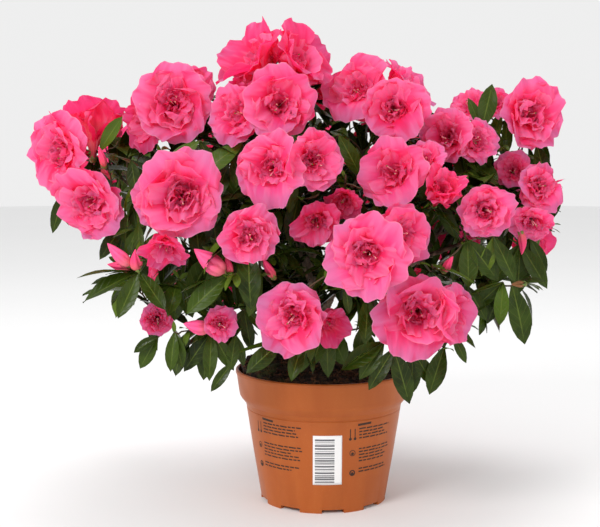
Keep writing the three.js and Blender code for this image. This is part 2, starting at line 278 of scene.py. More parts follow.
def drill_drains(piece):
    """Cuts the drain holes through the floor, one behind each gap between two feet."""
    drills, depth = [], 4 * FLOOR_TOP
    for i in range(FOOT_COUNT):
        bearing = math.radians(360 / FOOT_COUNT * (i + 0.5) + FOOT_TURN)
        place = (DRAIN_PLACE * math.cos(bearing), DRAIN_PLACE * math.sin(bearing), FLOOR_TOP)
        bpy.ops.mesh.primitive_cylinder_add(vertices=24, radius=DRAIN_RADIUS, depth=depth, location=place)
        drills.append(bpy.context.object)
    for drill in drills:
        drill.select_set(True)
    bpy.ops.object.join()
    cutter = bpy.context.object
    finish_with(piece, "BOOLEAN", operation="DIFFERENCE", object=cutter, solver="EXACT")
    bpy.data.objects.remove(cutter)


def pot_finish():
    finish = Finish("pot_plastic", Specular_IOR_Level=0.22)
    tall = finish.place((1, 1, 0.12))
    flow = finish.noise(90, 3.0, tall)
    speck = finish.noise(1500, 2.0)
    cloud = finish.noise(26, 3.0)
    streak = finish.step(flow, 0.35, 0.65, 0.0, 0.45)
    colour = finish.blend(streak, (0.405, 0.097, 0.019), (0.46, 0.122, 0.026))
    colour = finish.blend(finish.step(cloud, 0.45, 0.7, 0.0, 0.35), colour, (0.33, 0.078, 0.019))
    colour = finish.blend(finish.step(speck, 0.6, 0.75, 0.0, 0.3), colour, (0.54, 0.19, 0.07))
    rough = finish.step(cloud + speck * 0.4, 0.5, 1.0, 0.34, 0.50)
    return finish.vary(Base_Color=colour, Roughness=rough, Normal=finish.bump(speck + flow, 0.12, 0.0003))


def bead_groove(height, depth):
    """A fine line pressed into the wall, as four places of the profile."""
    lips = [(-0.7 * MM, 0), (-0.3 * MM, depth), (0.3 * MM, depth), (0.7 * MM, 0)]
    return [(wall_radius(height + up) - inward, height + up) for up, inward in lips]


pot_profile = [
    (HUB_RADIUS, 0),
    (HUB_RADIUS + 1 * MM, FOOT_RISE),
    (BASE_RADIUS - FOOT_DEPTH, FOOT_RISE),
    (BASE_RADIUS, FOOT_RISE),
    (wall_radius(BEAD_HEIGHT / 2), BEAD_HEIGHT / 2),
    *bead_groove(BEAD_HEIGHT, 0.5 * MM),
    (SHOULDER_RADIUS, SHOULDER_HEIGHT),
    (SHOULDER_RADIUS + 0.6 * MM, SHOULDER_HEIGHT + 0.9 * MM),
    (RIM_RADIUS - 3.9 * MM, LIP_HEIGHT - 1.6 * MM),
    (RIM_RADIUS - 2.9 * MM, LIP_HEIGHT + 0.2 * MM),
    (RIM_RADIUS - 2.5 * MM, LIP_HEIGHT + 2.0 * MM),
    (RIM_RADIUS - 0.6 * MM, RIM_HEIGHT - 3.4 * MM),
    (RIM_RADIUS, RIM_HEIGHT - 2.6 * MM),
    (RIM_RADIUS, RIM_HEIGHT - 0.7 * MM),
    (RIM_RADIUS - 0.7 * MM, RIM_HEIGHT),
    (RIM_RADIUS - WALL - 0.4 * MM, RIM_HEIGHT),
    (RIM_RADIUS - WALL - 0.9 * MM, RIM_HEIGHT - 0.6 * MM),
    (RIM_RADIUS - 2.4 * MM - WALL, LIP_HEIGHT),
    (SHOULDER_RADIUS - WALL, SHOULDER_HEIGHT),
    (wall_radius(FLOOR_TOP) - WALL, FLOOR_TOP),
]
pot = turned_shell("pot_shell", pot_profile, POT_TURNS)
pull_down_feet(pot)
drill_drains(pot)
finish_with(pot, "BEVEL", width=0.35 * MM, segments=2, limit_method="ANGLE", angle_limit=math.radians(35))
pot.select_set(True)
pot.data.materials.append(pot_finish())
settle(pot)
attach(pot, "root")
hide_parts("pot")


# Care print: dark ink on the pot's wall, in two columns of short plain strokes with simple signs beside them,
# and a white paper sticker between them with plain grey stripes. It carries no letters and no numbers.
MAP_NAME = "OFBake"
TILES_ACROSS, TILES_UP = 4, 2
TILE_EDGE = 0.02
INK_LIFT, STROKE_TALL, STROKE_GAP, LINE_DROP = 0.08 * MM, 1.0 * MM, 0.8 * MM, 2.3 * MM
STICKER_LIFT, STICKER_WIDTH, STICKER_TALL = 0.12 * MM, 20.7 * MM, 36.8 * MM
STICKER_ASIDE, STICKER_HEIGHT = 1.8 * MM, 40.4 * MM
STRIPES_LOW, STRIPES_HIGH, STRIPES_LEFT, STRIPES_RIGHT = -0.46, 0.42, -0.43, 0.24


def rod_grid(path, radii, sides):
    """A tube round a path, drawn to a point at both ends, as rows of points."""
    ahead = np.gradient(path, axis=0)
    ahead /= np.linalg.norm(ahead, axis=1, keepdims=True) + 1e-12
    aside = np.cross(ahead, [0.31, 0.17, 0.93])
    aside /= np.linalg.norm(aside, axis=1, keepdims=True) + 1e-12
    third = np.cross(ahead, aside)
    turn = np.linspace(0, 2 * np.pi, sides + 1)
    ring = np.cos(turn)[None, :, None] * aside[:, None] + np.sin(turn)[None, :, None] * third[:, None]
    rows = list(path[:, None] + radii[:, None, None] * ring)
    first, last = path[0] - radii[0] * ahead[0], path[-1] + radii[-1] * ahead[-1]
    return np.stack([np.tile(first, (sides + 1, 1)), *rows, np.tile(last, (sides + 1, 1))])


class Heap:
    """Thin sheets and rods, kept as arrays, that become one joined mesh. Each lies on a tile of its map."""

    def __init__(self):
        self.points, self.quads, self.spots, self.count = [], [], [], 0

    def sheet(self, grid, tile=0):
        rows, columns = grid.shape[0], grid.shape[1]
        index = self.count + np.arange(rows * columns).reshape(rows, columns)
        quads = np.stack([index[:-1, :-1], index[:-1, 1:], index[1:, 1:], index[1:, :-1]], -1)
        along, across = np.meshgrid(np.linspace(0, 1, rows), np.linspace(0, 1, columns), indexing="ij")
        room = 1 - 2 * TILE_EDGE
        left, low = tile % TILES_ACROSS, tile // TILES_ACROSS
        u = (left + TILE_EDGE + room * across) / TILES_ACROSS
        v = (low + TILE_EDGE + room * along) / TILES_UP
        self.points.append(grid.reshape(-1, 3))
        self.quads.append(quads.reshape(-1, 4))
        self.spots.append(np.stack([u, v], -1).reshape(-1, 2))
        self.count += rows * columns

    def rod(self, path, radii, sides=5, tile=0):
        self.sheet(rod_grid(np.asarray(path, float), np.asarray(radii, float), sides), tile)

    def piece(self, name, finish):
        points, quads, spots = (np.concatenate(part) for part in (self.points, self.quads, self.spots))
        mesh = bpy.data.meshes.new(name)
        mesh.vertices.add(len(points))
        mesh.vertices.foreach_set("co", points.ravel())
        mesh.loops.add(quads.size)
        mesh.loops.foreach_set("vertex_index", quads.ravel().astype(np.int32))
        mesh.polygons.add(len(quads))
        mesh.polygons.foreach_set("loop_start", np.arange(0, quads.size, 4, dtype=np.int32))
        mesh.update(calc_edges=True)
        mesh.uv_layers.new(name=MAP_NAME)
        mesh.uv_layers[MAP_NAME].uv.foreach_set("vector", spots[quads.ravel()].astype(np.float32).ravel())
        mesh.shade_smooth()
        mesh.materials.append(finish)
        made = bpy.data.objects.new(name, mesh)
        bpy.context.scene.collection.objects.link(made)
        return made


def on_wall(aside, height, lift):
    """A place on the pot's wall: aside is measured round the wall from the middle of the front."""
    out = wall_radius(height) + lift
    bearing = aside / out - math.pi / 2
    return np.stack([out * np.cos(bearing), out * np.sin(bearing), height + 0 * aside], -1)


def ink_bar(heap, left, right, low, high, tilt=0.0):
    """A stroke that follows the wall, in steps of about 1.5 mm."""
    aside, height = np.meshgrid(np.linspace(left, right, 2 + int((right - left) / (1.5 * MM))), [low, high])
    heap.sheet(on_wall(aside, height + tilt * (aside - left), INK_LIFT))


def ink_ring(heap, aside, height, radius, thick):
    turn, across = np.meshgrid(np.linspace(0, 2 * np.pi, 17), [radius, radius - thick])
    heap.sheet(on_wall(aside + across * np.cos(turn), height - across * np.sin(turn), INK_LIFT))


def ink_column(heap, rng, left, right, top, tilt):
    """Three blocks of short strokes, with a plain sign beside each and a heavier stroke over the first."""
    ink_bar(heap, left + 7 * MM, left + 18 * MM, top + 1.4 * MM, top + 3 * MM, tilt)
    for drop, lines, sign in ((0, 4, "bars"), (15, 5, "ring"), (30, 2, "dot")):
        start = top - drop * MM
        for line in range(lines):
            height = start - 1.2 * MM - LINE_DROP * line
            place = left + 8 * MM
            end_of_line = right - rng.uniform(0, 9) * MM
            while place < end_of_line:
                end = min(place + rng.uniform(2, 6) * MM, end_of_line)
                ink_bar(heap, place, end, height, height + STROKE_TALL, tilt)
                place = end + STROKE_GAP
        middle, height = left + 3 * MM, start - 3.5 * MM
        if sign == "bars":
            for place in (middle - 1.8 * MM, middle + 1.8 * MM):
                ink_bar(heap, place - 0.35 * MM, place + 0.35 * MM, height - 4 * MM, height + 3 * MM)
                ink_ring(heap, place, height - 4.4 * MM, 1.1 * MM, 1.05 * MM)
        else:
            ink_ring(heap, middle, height, 2.3 * MM, 0.5 * MM if sign == "ring" else 0.9 * MM)
            ink_ring(heap, middle, height - 0.5 * MM, 1.1 * MM, 1.05 * MM)


def ink_finish():
    """Dark ink, a little worn."""
    finish = Finish("care_ink", Roughness=0.6, Specular_IOR_Level=0.3)
    worn = finish.step(finish.noise(900, 3.0), 0.45, 0.8)
    return finish.vary(Base_Color=finish.blend(worn, (0.035, 0.018, 0.012), (0.10, 0.04, 0.02)))


ink = Heap()
ink_rng = np.random.default_rng(11)
ink_column(ink, ink_rng, -58 * MM, -16 * MM, 64.5 * MM, -0.05)
ink_column(ink, ink_rng, 17 * MM, 56 * MM, 63.5 * MM, 0.05)
care_print = ink.piece("care_print", ink_finish())
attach(care_print, "root")


def sticker_finish():
    """White paper with a fine fibre."""
    finish = Finish("sticker_paper", Roughness=0.62, Specular_IOR_Level=0.35)
    fibre = finish.noise(1200, 3.0)
    return finish.vary(Base_Color=finish.blend(fibre, (0.80, 0.80, 0.80), (0.88, 0.88, 0.87)))


def stripe_finish():
    finish = Finish("sticker_stripe", Roughness=0.55)
    fibre = finish.noise(900, 2.0)
    return finish.vary(Base_Color=finish.blend(fibre, (0.10, 0.10, 0.11), (0.16, 0.16, 0.17)))


bpy.ops.mesh.primitive_plane_add(size=1, location=(0, 0, 0))
sticker = bpy.context.object
sticker.name = "sticker"
bpy.ops.object.mode_set(mode="EDIT")
bpy.ops.mesh.subdivide(number_cuts=15)
bpy.ops.object.mode_set(mode="OBJECT")
for corner in sticker.data.vertices:
    height = STICKER_HEIGHT + corner.co.y * STICKER_TALL
    corner.co = on_wall(np.float64(STICKER_ASIDE + corner.co.x * STICKER_WIDTH), height, STICKER_LIFT)
finish_with(sticker, "SOLIDIFY", thickness=0.1 * MM, offset=-1)
sticker.data.materials.append(sticker_finish())
settle(sticker)
stripes = Heap()
stripe_height = STICKER_HEIGHT + STRIPES_LOW * STICKER_TALL
while stripe_height < STICKER_HEIGHT + STRIPES_HIGH * STICKER_TALL:
    thick = ink_rng.choice([0.4, 0.8, 1.3]) * MM
    across = np.linspace(STRIPES_LEFT, STRIPES_RIGHT, 10)
    aside, height = np.meshgrid(across, [stripe_height, stripe_height + thick])
    stripes.sheet(on_wall(STICKER_ASIDE + STICKER_WIDTH * aside, height, STICKER_LIFT + 0.04 * MM))
    stripe_height += thick + ink_rng.choice([0.4, 0.6, 0.9]) * MM
sticker_stripes = stripes.piece("sticker_stripes", stripe_finish())
for piece in (sticker, sticker_stripes):
    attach(piece, "root")


# Root ball: moist dark peat that stands a little above the rim, broken into crumbs, with fine dead roots and
# a few flecks of bark on it and a little moss. Its side and foot are hidden in the pot.
BALL_SIDE, PEAT_CELL = 16 * MM, 1.3 * MM
CRUMBS, CRUMB_KINDS, FIBRES, FIBRE_GIRTH = 950, 8, 130, 0.16 * MM


def merged_copy(name, nodes):
    """The solids of these CAD nodes as one new mesh whose doubles are merged."""
    shell = bmesh.new()
    for node in nodes:
        shell.from_mesh(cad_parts[node].data)
    bmesh.ops.remove_doubles(shell, verts=shell.verts, dist=0.01 * MM)
    mesh = bpy.data.meshes.new(name)
    shell.to_mesh(mesh)
    shell.free()
    piece = bpy.data.objects.new(name, mesh)
    bpy.context.scene.collection.objects.link(piece)
    bpy.context.view_layer.objects.active = piece
    piece.select_set(True)
    return piece


def roughen(piece, pattern, size, depth):
    """Moves the surface in and out by a cloud pattern of this size."""
    cloud = bpy.data.textures.new(pattern, "CLOUDS")
    cloud.noise_scale, cloud.noise_depth = size, 2
    finish_with(piece, "DISPLACE", texture=cloud, strength=depth, mid_level=0.5, texture_coords="GLOBAL")


def soil_finish(name, dark, light, moss):
    finish = Finish(name, Specular_IOR_Level=0.25)
    grain = finish.noise(260, 4.0)
    colour = finish.blend(finish.step(grain, 0.38, 0.66), dark, light)
    green = finish.step(finish.noise(38, 3.0), 0.56, 0.70) * moss
    colour = finish.blend(green, colour, (0.060, 0.085, 0.018))
    return finish.vary(
        Base_Color=colour,
        Roughness=finish.step(grain, 0.3, 0.7, 0.8, 0.98),
        Normal=finish.bump(finish.noise(700, 4.0), 0.7, 0.0012),
    )


soil = merged_copy("soil_ball", ["soil"])
bpy.ops.object.mode_set(mode="EDIT")
bpy.ops.mesh.select_all(action="SELECT")
cut = (0, 0, RIM_HEIGHT - BALL_SIDE)
bpy.ops.mesh.bisect(plane_co=cut, plane_no=(0, 0, 1), use_fill=True, clear_inner=True, threshold=1e-6)
bpy.ops.object.mode_set(mode="OBJECT")
finish_with(soil, "REMESH", mode="VOXEL", voxel_size=PEAT_CELL)
soil_top = BVHTree.FromObject(soil, bpy.context.evaluated_depsgraph_get())
roughen(soil, "peat_lumps", 7 * MM, 2.4 * MM)
roughen(soil, "peat_grain", 2.2 * MM, 1.3 * MM)
soil.data.materials.append(soil_finish("peat", (0.010, 0.006, 0.004), (0.085, 0.040, 0.022), 0.6))
settle(soil)
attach(soil, "root")
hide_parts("soil")

crumb_rng = np.random.default_rng(23)
ball_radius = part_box("soil")[1].x


def on_soil(rng):
    """A place on top of the root ball, even over its area."""
    out, bearing = ball_radius * 0.985 * math.sqrt(rng.uniform(0.02, 1)), rng.uniform(0, 2 * math.pi)
    spot = Vector((out * math.cos(bearing), out * math.sin(bearing), RIM_HEIGHT + 0.1))
    return np.array(soil_top.ray_cast(spot, Vector((0, 0, -1)))[0])


crumbs = Heap()
for i in range(CRUMBS):
    spot, size = on_soil(crumb_rng), 1.5 if i % 9 == 0 else 1
    lean = crumb_rng.normal(0, 1, 3) * [1, 1, 0.5]
    lean *= crumb_rng.uniform(0.5, 1.7) * size * MM / np.linalg.norm(lean)
    girth = np.linalg.norm(lean) * crumb_rng.uniform(0.5, 0.9)
    path = spot + np.outer([-0.8, 0.1, 0.8], lean) + crumb_rng.normal(0, 0.15 * MM, (3, 3))
    crumbs.rod(path, girth * crumb_rng.uniform(0.6, 1.1, 3), 5, int(crumb_rng.integers(0, CRUMB_KINDS)))
for _ in range(FIBRES):
    spot = on_soil(crumb_rng)
    bearing = crumb_rng.uniform(0, 2 * math.pi)
    run = np.cumsum(crumb_rng.normal(0, 0.5, 5)) + bearing
    steps = np.stack([np.cos(run), np.sin(run), crumb_rng.normal(0, 0.15, 5)], -1)
    steps = np.cumsum(steps * crumb_rng.uniform(0.8, 2) * MM, axis=0)
    crumbs.rod(spot + [0, 0, 0.6 * MM] + steps, np.full(5, FIBRE_GIRTH), 4)
crumb_skin = soil_finish("peat_crumb", (0.016, 0.009, 0.006), (0.15, 0.062, 0.030), 0.35)
peat_crumbs = crumbs.piece("peat_crumbs", crumb_skin)
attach(peat_crumbs, "root")


# Stem, boughs and branches: one body of living wood with thin grey-brown bark, flared at its foot, ridged
# along the stem and knotted where shoots have been pruned away. It is grown together at every fork.
BARK_CELL = 0.75 * MM
LIMBS = sorted(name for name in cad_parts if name.startswith(("bough_", "branch_")))


def bark_finish():
    finish = Finish("bark", Specular_IOR_Level=0.25)
    ridged = finish.noise(150, 4.0, finish.place((1, 1, 0.22)))
    patch = finish.noise(48, 3.0)
    colour = finish.blend(finish.step(ridged, 0.38, 0.66), (0.060, 0.038, 0.026), (0.235, 0.165, 0.115))
    colour = finish.blend(finish.step(patch, 0.5, 0.7, 0.0, 0.5), colour, (0.20, 0.17, 0.135))
    rough = finish.step(ridged, 0.3, 0.7, 0.95, 0.75)
    return finish.vary(Base_Color=colour, Roughness=rough, Normal=finish.bump(ridged, 0.8, 0.0012))


wood = merged_copy("wood", ["stem", *LIMBS])
finish_with(wood, "REMESH", mode="VOXEL", voxel_size=BARK_CELL)
finish_with(wood, "SMOOTH", factor=0.5, iterations=3)
roughen(wood, "bark_ridges", 2.6 * MM, 0.9 * MM)
roughen(wood, "bark_knots", 11 * MM, 1.1 * MM)
wood.data.materials.append(bark_finish())
settle(wood)
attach(wood, "root")
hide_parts("stem", *LIMBS)


# Shoots: this year's and last year's thin twigs, brown and slightly hairy. They grow on from the outer half
# of each bough and branch, forking as they go, and each ends under a blossom or in a whorl of leaves.
MASS_NAMES = sorted(name[len("foliage_"):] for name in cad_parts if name.startswith("foliage_"))
TWIG_SIDES, TWIG_GIRTH, TWIG_STEP, LIMB_GIRTH = 5, 1.2 * MM, 5 * MM, 1.15 * MM
ALONG_LIMB = (0.5, 0.62, 0.74, 0.86, 0.97)
REACH_FROM, REACH_LEAST, REACH_UNKNOWN = 200 * MM, 12 * MM, 20 * MM
CROWN_SIGHT = 90 * MM
FRONT_EYE = Vector((0, -0.9, 0.26))
BASE_BEHIND = {"double": 0.30, "rosette": 0.30, "funnel": 0.42, "cup": 0.50}

# Every blossom of the front: the mass it is in, its form, its diameter and the place of its middle in mm, and
# where it looks, as bearing and rise in degrees. Bearing 270 is the front.
FRONT_BLOSSOMS = [
    ("left", "double", 59, (-176, -50, 256), 232, 2),
    ("left", "funnel", 55, (-163, -26, 269), 96, 56),
    ("left", "rosette", 60, (-156, -64, 224), 244, -12),
    ("upper_left", "double", 65, (-103, -48, 288), 268, 6),
    ("upper_left", "funnel", 40, (-121, -36, 277), 222, -10),
    ("mid_left", "rosette", 66, (-94, -108, 230), 280, -2),
    ("mid_left", "double", 40, (-106, -104, 227), 230, -6),
    ("mid_left", "funnel", 31, (-103, -112, 199), 262, -46),
    ("low_left", "double", 25, (-115, -68, 144), 282, -8),
    ("low_left_front", "double", 24, (-70, -106, 146), 290, 4),
    ("centre_left", "rosette", 42, (-49, -130, 205), 276, 0),
    ("top", "funnel", 56, (-43, -38, 317), 212, 32),
    ("top", "funnel", 54, (-23, -38, 316), 322, 34),
    ("upper_centre", "double", 46, (-55, -74, 281), 236, 4),
    ("upper_centre", "double", 53, (-31, -82, 287), 276, 4),
    ("centre", "double", 50, (-34, -116, 247), 250, -2),
    ("centre", "double", 47, (-12, -112, 252), 298, 2),
    ("centre", "funnel", 33, (-7, -98, 213), 272, -18),
    ("upper_right", "double", 56, (26, -28, 297), 238, 24),
    ("upper_right", "double", 53, (45, -70, 285), 268, 2),
    ("upper_right", "double", 50, (54, -22, 298), 330, 42),
    ("far_right_upper", "double", 36, (108, 4, 285), 250, 40),
    ("far_right_upper", "double", 59, (142, -20, 282), 292, 4),
    ("far_right_upper", "double", 30, (135, -16, 242), 262, 10),
    ("right_upper", "double", 44, (85, -48, 266), 248, 8),
    ("right_upper", "double", 34, (101, -52, 263), 300, 6),
    ("centre_right", "double", 51, (45, -92, 243), 248, 0),
    ("centre_right", "double", 30, (64, -92, 250), 262, 26),
    ("centre_right", "cup", 33, (74, -100, 231), 284, 34),
    ("centre_right", "rosette", 42, (103, -94, 219), 276, -4),
    ("far_right", "rosette", 39, (147, -42, 232), 290, 4),
    ("far_right", "double", 33, (141, -54, 210), 262, -26),
    ("front", "double", 48, (43, -120, 205), 304, 0),
    ("front", "rosette", 58, (25, -140, 195), 262, -2),
    ("low_front_right", "rosette", 62, (58, -118, 156), 262, -6),
    ("low_front_right", "double", 47, (74, -112, 153), 316, -2),
    ("low_front", "double", 53, (-20, -116, 154), 256, -6),
    ("low_front", "funnel", 27, (0, -98, 146), 292, -16),
    ("far_right_upper", "double", 24, (124, -4, 289), 246, 20),
    ("centre", "funnel", 25, (12, -92, 226), 258, -30),
    ("upper_left", "double", 34, (-92, -32, 300), 285, 10),
]

# The sprays of leaves that show at the front: the mass each grows from, the place of its heart in mm, and its
# leaves: the way each points (90 is up, 180 is left), how far it leans to the front, and its length in mm.
FRONT_SPRAYS = [
    ("low_left", (-124, -90, 178),
     [(170, 5, 41), (206, 0, 43), (186, 0, 22), (247, 18, 34), (305, 15, 32), (150, -20, 26)]),
    ("centre_left", (-64, -112, 178),
     [(190, 10, 33), (222, 15, 36), (272, 20, 28), (325, 12, 32), (352, 5, 32), (205, -15, 36)]),
    ("low_left_front", (-76, -94, 139),
     [(232, 10, 34), (268, 12, 33), (258, -5, 36), (300, 6, 30), (200, 0, 28)]),
    ("low_left_front", (-100, -98, 139), [(265, 12, 26), (282, 0, 24)]),
    ("low_left_front", (-55, -84, 152), [(280, 0, 28), (240, 0, 26), (320, 0, 26), (95, 0, 24)]),
    ("low_left_front", (-60, -96, 137), [(262, 8, 24), (285, 0, 22)]),
    ("mid_left", (-126, -84, 206), [(100, 0, 24), (200, 0, 18), (250, 5, 20), (20, 0, 20)]),
    ("low_left_front", (-62, -98, 119), [(234, 5, 24)]),
    ("low_left", (-115, -62, 130), [(236, 8, 27), (214, 0, 20)]),
    ("left", (-139, -46, 207), [(235, 5, 31), (258, -5, 26)]),
    ("mid_left", (-122, -98, 188), [(92, 8, 23), (60, 0, 20)]),
    ("low_front", (-30, -106, 134), [(222, 15, 31), (200, 0, 28)]),
    ("low_front", (-16, -104, 134), [(255, 20, 28)]),
    ("low_front", (0, -88, 143), [(272, 0, 37), (252, 0, 30), (300, 0, 34)]),
    ("front", (12, -106, 171), [(217, 10, 36), (246, 5, 28), (278, 0, 20)]),
    ("front", (27, -100, 164), [(266, 5, 33), (290, 0, 30)]),
    ("front", (38, -94, 132), [(200, 10, 34), (215, 5, 34), (235, 15, 30)]),
    ("low_front_right", (44, -98, 128), [(288, 12, 40), (240, 0, 32)]),
    ("low_front_right", (57, -94, 126), [(270, 10, 30), (300, -5, 28)]),
    ("low_front_right", (78, -92, 128), [(252, 10, 33)]),
    ("low_front_right", (84, -88, 136), [(296, 0, 22)]),
    ("low_right", (121, -64, 168), [(250, 12, 31), (264, 12, 30), (222, 5, 32), (200, 10, 30)]),
    ("low_right", (127, -66, 166), [(286, 12, 42), (20, 0, 24)]),
    ("low_right", (96, -66, 166), [(300, 5, 28), (272, 8, 30), (250, 0, 30)]),
    ("far_right", (136, -44, 192), [(268, 8, 36), (300, 10, 36), (235, 0, 34)]),
    ("far_right", (143, -40, 197), [(262, 8, 34), (296, 5, 27)]),
    ("centre_right", (94, -80, 198), [(272, 8, 32), (252, 0, 30), (312, 5, 36)]),
    ("centre_right", (112, -78, 200), [(255, 5, 28), (296, 0, 34)]),
    ("low_front", (24, -88, 142), [(262, 5, 24), (290, 0, 28)]),
    ("centre", (22, -96, 234), [(295, 12, 28), (250, 5, 28)]),
    ("centre", (12, -96, 242), [(345, 10, 26), (200, 0, 26)]),
    ("centre", (-6, -110, 230), [(235, 25, 24), (300, 20, 24), (310, 5, 32)]),
    ("upper_centre", (-56, -80, 262), [(215, 12, 34), (160, 0, 30), (260, 5, 30)]),
    ("upper_centre", (8, -80, 268), [(150, 8, 30), (20, 5, 32), (200, 5, 30), (300, 0, 32)]),
    ("upper_centre", (-8, -50, 300), [(352, 12, 32), (175, 5, 30)]),
    ("right_upper", (109, -36, 272), [(77, 8, 33), (112, -5, 24)]),
    ("far_right_upper", (120, -36, 256), [(72, 8, 26), (330, -5, 22)]),
    ("left", (-137, -60, 216),
     [(60, 10, 22), (100, 0, 20), (20, 5, 18), (150, 10, 16), (270, 5, 24), (230, 0, 20)]),
    ("mid_left", (-127, -72, 226), [(98, 0, 26), (272, 0, 30), (244, 0, 26), (125, 0, 22), (300, 0, 24)]),
    ("low_left", (-99, -76, 171), [(262, 0, 30), (290, 0, 28), (322, 0, 30), (236, 0, 28), (205, 0, 22)]),
    ("left", (-180, -42, 230), [(250, 5, 32), (272, 0, 26)]),
    ("left", (-153, -62, 257), [(53, 12, 30), (20, 0, 32), (350, 5, 30)]),
    ("centre_left", (-42, -108, 178), [(330, 10, 34), (200, 5, 30), (250, 5, 30), (20, 0, 30)]),
    ("front", (-18, -120, 168), [(30, 8, 34), (330, 0, 34), (205, 10, 30), (290, 10, 30)]),
    ("centre_right", (68, -104, 184), [(300, 5, 34), (250, 10, 30), (340, 5, 30)]),
    ("upper_left", (-84, -80, 264), [(340, 5, 32), (300, 0, 30), (220, 0, 30)]),
    ("upper_right", (56, -70, 264), [(250, 10, 30), (290, 5, 30)]),
]


def heading(bearing, rise):
    """The direction with this bearing and rise in degrees."""
    bearing, rise = math.radians(bearing), math.radians(rise)
    return np.array([math.cos(rise) * math.cos(bearing), math.cos(rise) * math.sin(bearing), math.sin(rise)])


def unit(direction):
    return direction / (np.linalg.norm(direction) + 1e-12)


def smooth(value):
    """0 below 0, 1 above 1, and a soft S between them."""
    value = np.clip(value, 0.0, 1.0)
    return value * value * (3 - 2 * value)


class Mass:
    """A foliage mass of the frame: how far it reaches each way, and the wood that has grown in it so far."""

    def __init__(self, name):
        self.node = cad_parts["foliage_" + name]
        low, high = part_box(self.node.name)
        self.middle = (np.array(low) + np.array(high)) / 2
        self.tree = BVHTree.FromObject(self.node, bpy.context.evaluated_depsgraph_get())
        # The limb's middle line is a smooth curve through its corners, from its foot to its tip.
        limb = "bough_" + name if "bough_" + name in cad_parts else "branch_" + name
        points = np.array([corner.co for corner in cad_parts[limb].data.vertices])
        foot, tip = (points[pick(np.linalg.norm(points[:, :2], axis=1))] for pick in (np.argmin, np.argmax))
        along = (points - foot) @ (tip - foot) / ((tip - foot) @ (tip - foot))
        curve = [np.polyfit(along, points[:, i], 2) for i in range(3)]
        line = np.array([[np.polyval(bend, at) for bend in curve] for at in ALONG_LIMB])
        ahead = [unit(step) for step in np.gradient(line, axis=0)]
        self.wood = [(place, way, LIMB_GIRTH) for place, way in zip(line, ahead)]

    def reach(self, way):
        """The distance from the middle to the far side of the mass this way."""
        far = self.middle + way * REACH_FROM
        hit = self.tree.ray_cast(Vector(far), Vector(-way))[0]
        return REACH_UNKNOWN if hit is None else max(REACH_LEAST, float((np.array(hit) - self.middle) @ way))

    def holds(self, place, over):
        """Whether a place lies in the mass, or no further past its face than this."""
        gap = place - self.middle
        far = np.linalg.norm(gap)
        return far < 100 * MM and far < self.reach(gap / (far + 1e-9)) + over

    def grow(self, heap, rng, end, way, tip_girth, tile=0):
        """A curved twig from the best placed wood of the mass to this end, arriving this way."""

        def cost(start):
            place, ahead, _ = start
            gap = end - place
            length = np.linalg.norm(gap)
            too_near = 50 * MM if length < TWIG_STEP else 0
            return length * (1.5 - 0.5 * (gap @ ahead) / (length + 1e-9)) + too_near

        place, ahead, girth = min(self.wood, key=cost)
        gap = np.linalg.norm(end - place)
        leave = unit(0.7 * ahead + unit(end - place) + rng.normal(0, 0.12, 3)) * gap * 0.8
        arrive = way * gap * 0.7
        t = np.linspace(0, 1, max(5, int(gap / TWIG_STEP)))[:, None]
        path = (2 * t**3 - 3 * t**2 + 1) * place + (t**3 - 2 * t**2 + t) * leave
        path = path + (3 * t**2 - 2 * t**3) * end + (t**3 - t**2) * arrive
        path[1:-1] += rng.normal(0, 0.35 * MM, (len(path) - 2, 3))
        radii = np.linspace(min(girth, TWIG_GIRTH), tip_girth, len(path))
        heap.rod(path, radii, TWIG_SIDES, tile)
        ways = np.gradient(path, axis=0)
        for i in range(len(path) // 3, len(path) - 1):
            self.wood.append((path[i], unit(ways[i]), 0.85 * radii[i]))
        return path


def crown_gap(own, place, way):
    """The clear distance from a place in a mass out to the next mass of the crown."""
    start, ahead = Vector(place), Vector(way)
    hits = [mass.tree.ray_cast(start, ahead, CROWN_SIGHT) for mass in masses.values() if mass is not own]
    return min([CROWN_SIGHT] + [hit[3] for hit in hits if hit[0] is not None])


def in_outline(place):
    """Whether a place lies inside the outline that the front masses have, seen from before the plant."""
    way = Vector(place) - FRONT_EYE
    front = [masses[name].tree for name in MASS_NAMES if "back" not in name]
    return any(tree.ray_cast(FRONT_EYE, way)[0] is not None for tree in front)


def twig_finish():
    finish = Finish("twig_bark", Roughness=0.75, Specular_IOR_Level=0.3)
    grain = finish.noise(420, 3.0)
    fleck = finish.step(grain, 0.35, 0.7, 0.0, 0.7)
    colour = finish.blend(fleck, (0.085, 0.060, 0.030), (0.13, 0.085, 0.045))
    return finish.vary(Base_Color=colour, Normal=finish.bump(grain, 0.5, 0.0004))


masses = {name: Mass(name) for name in MASS_NAMES}
crown_middle = np.mean([mass.middle for mass in masses.values()], axis=0)
shoot_rng = np.random.default_rng(5)
blossoms = []
for name, form, across, place, bearing, rise in FRONT_BLOSSOMS:
    blossoms.append((masses[name], form, across * MM, np.array(place) * MM, heading(bearing, rise)))

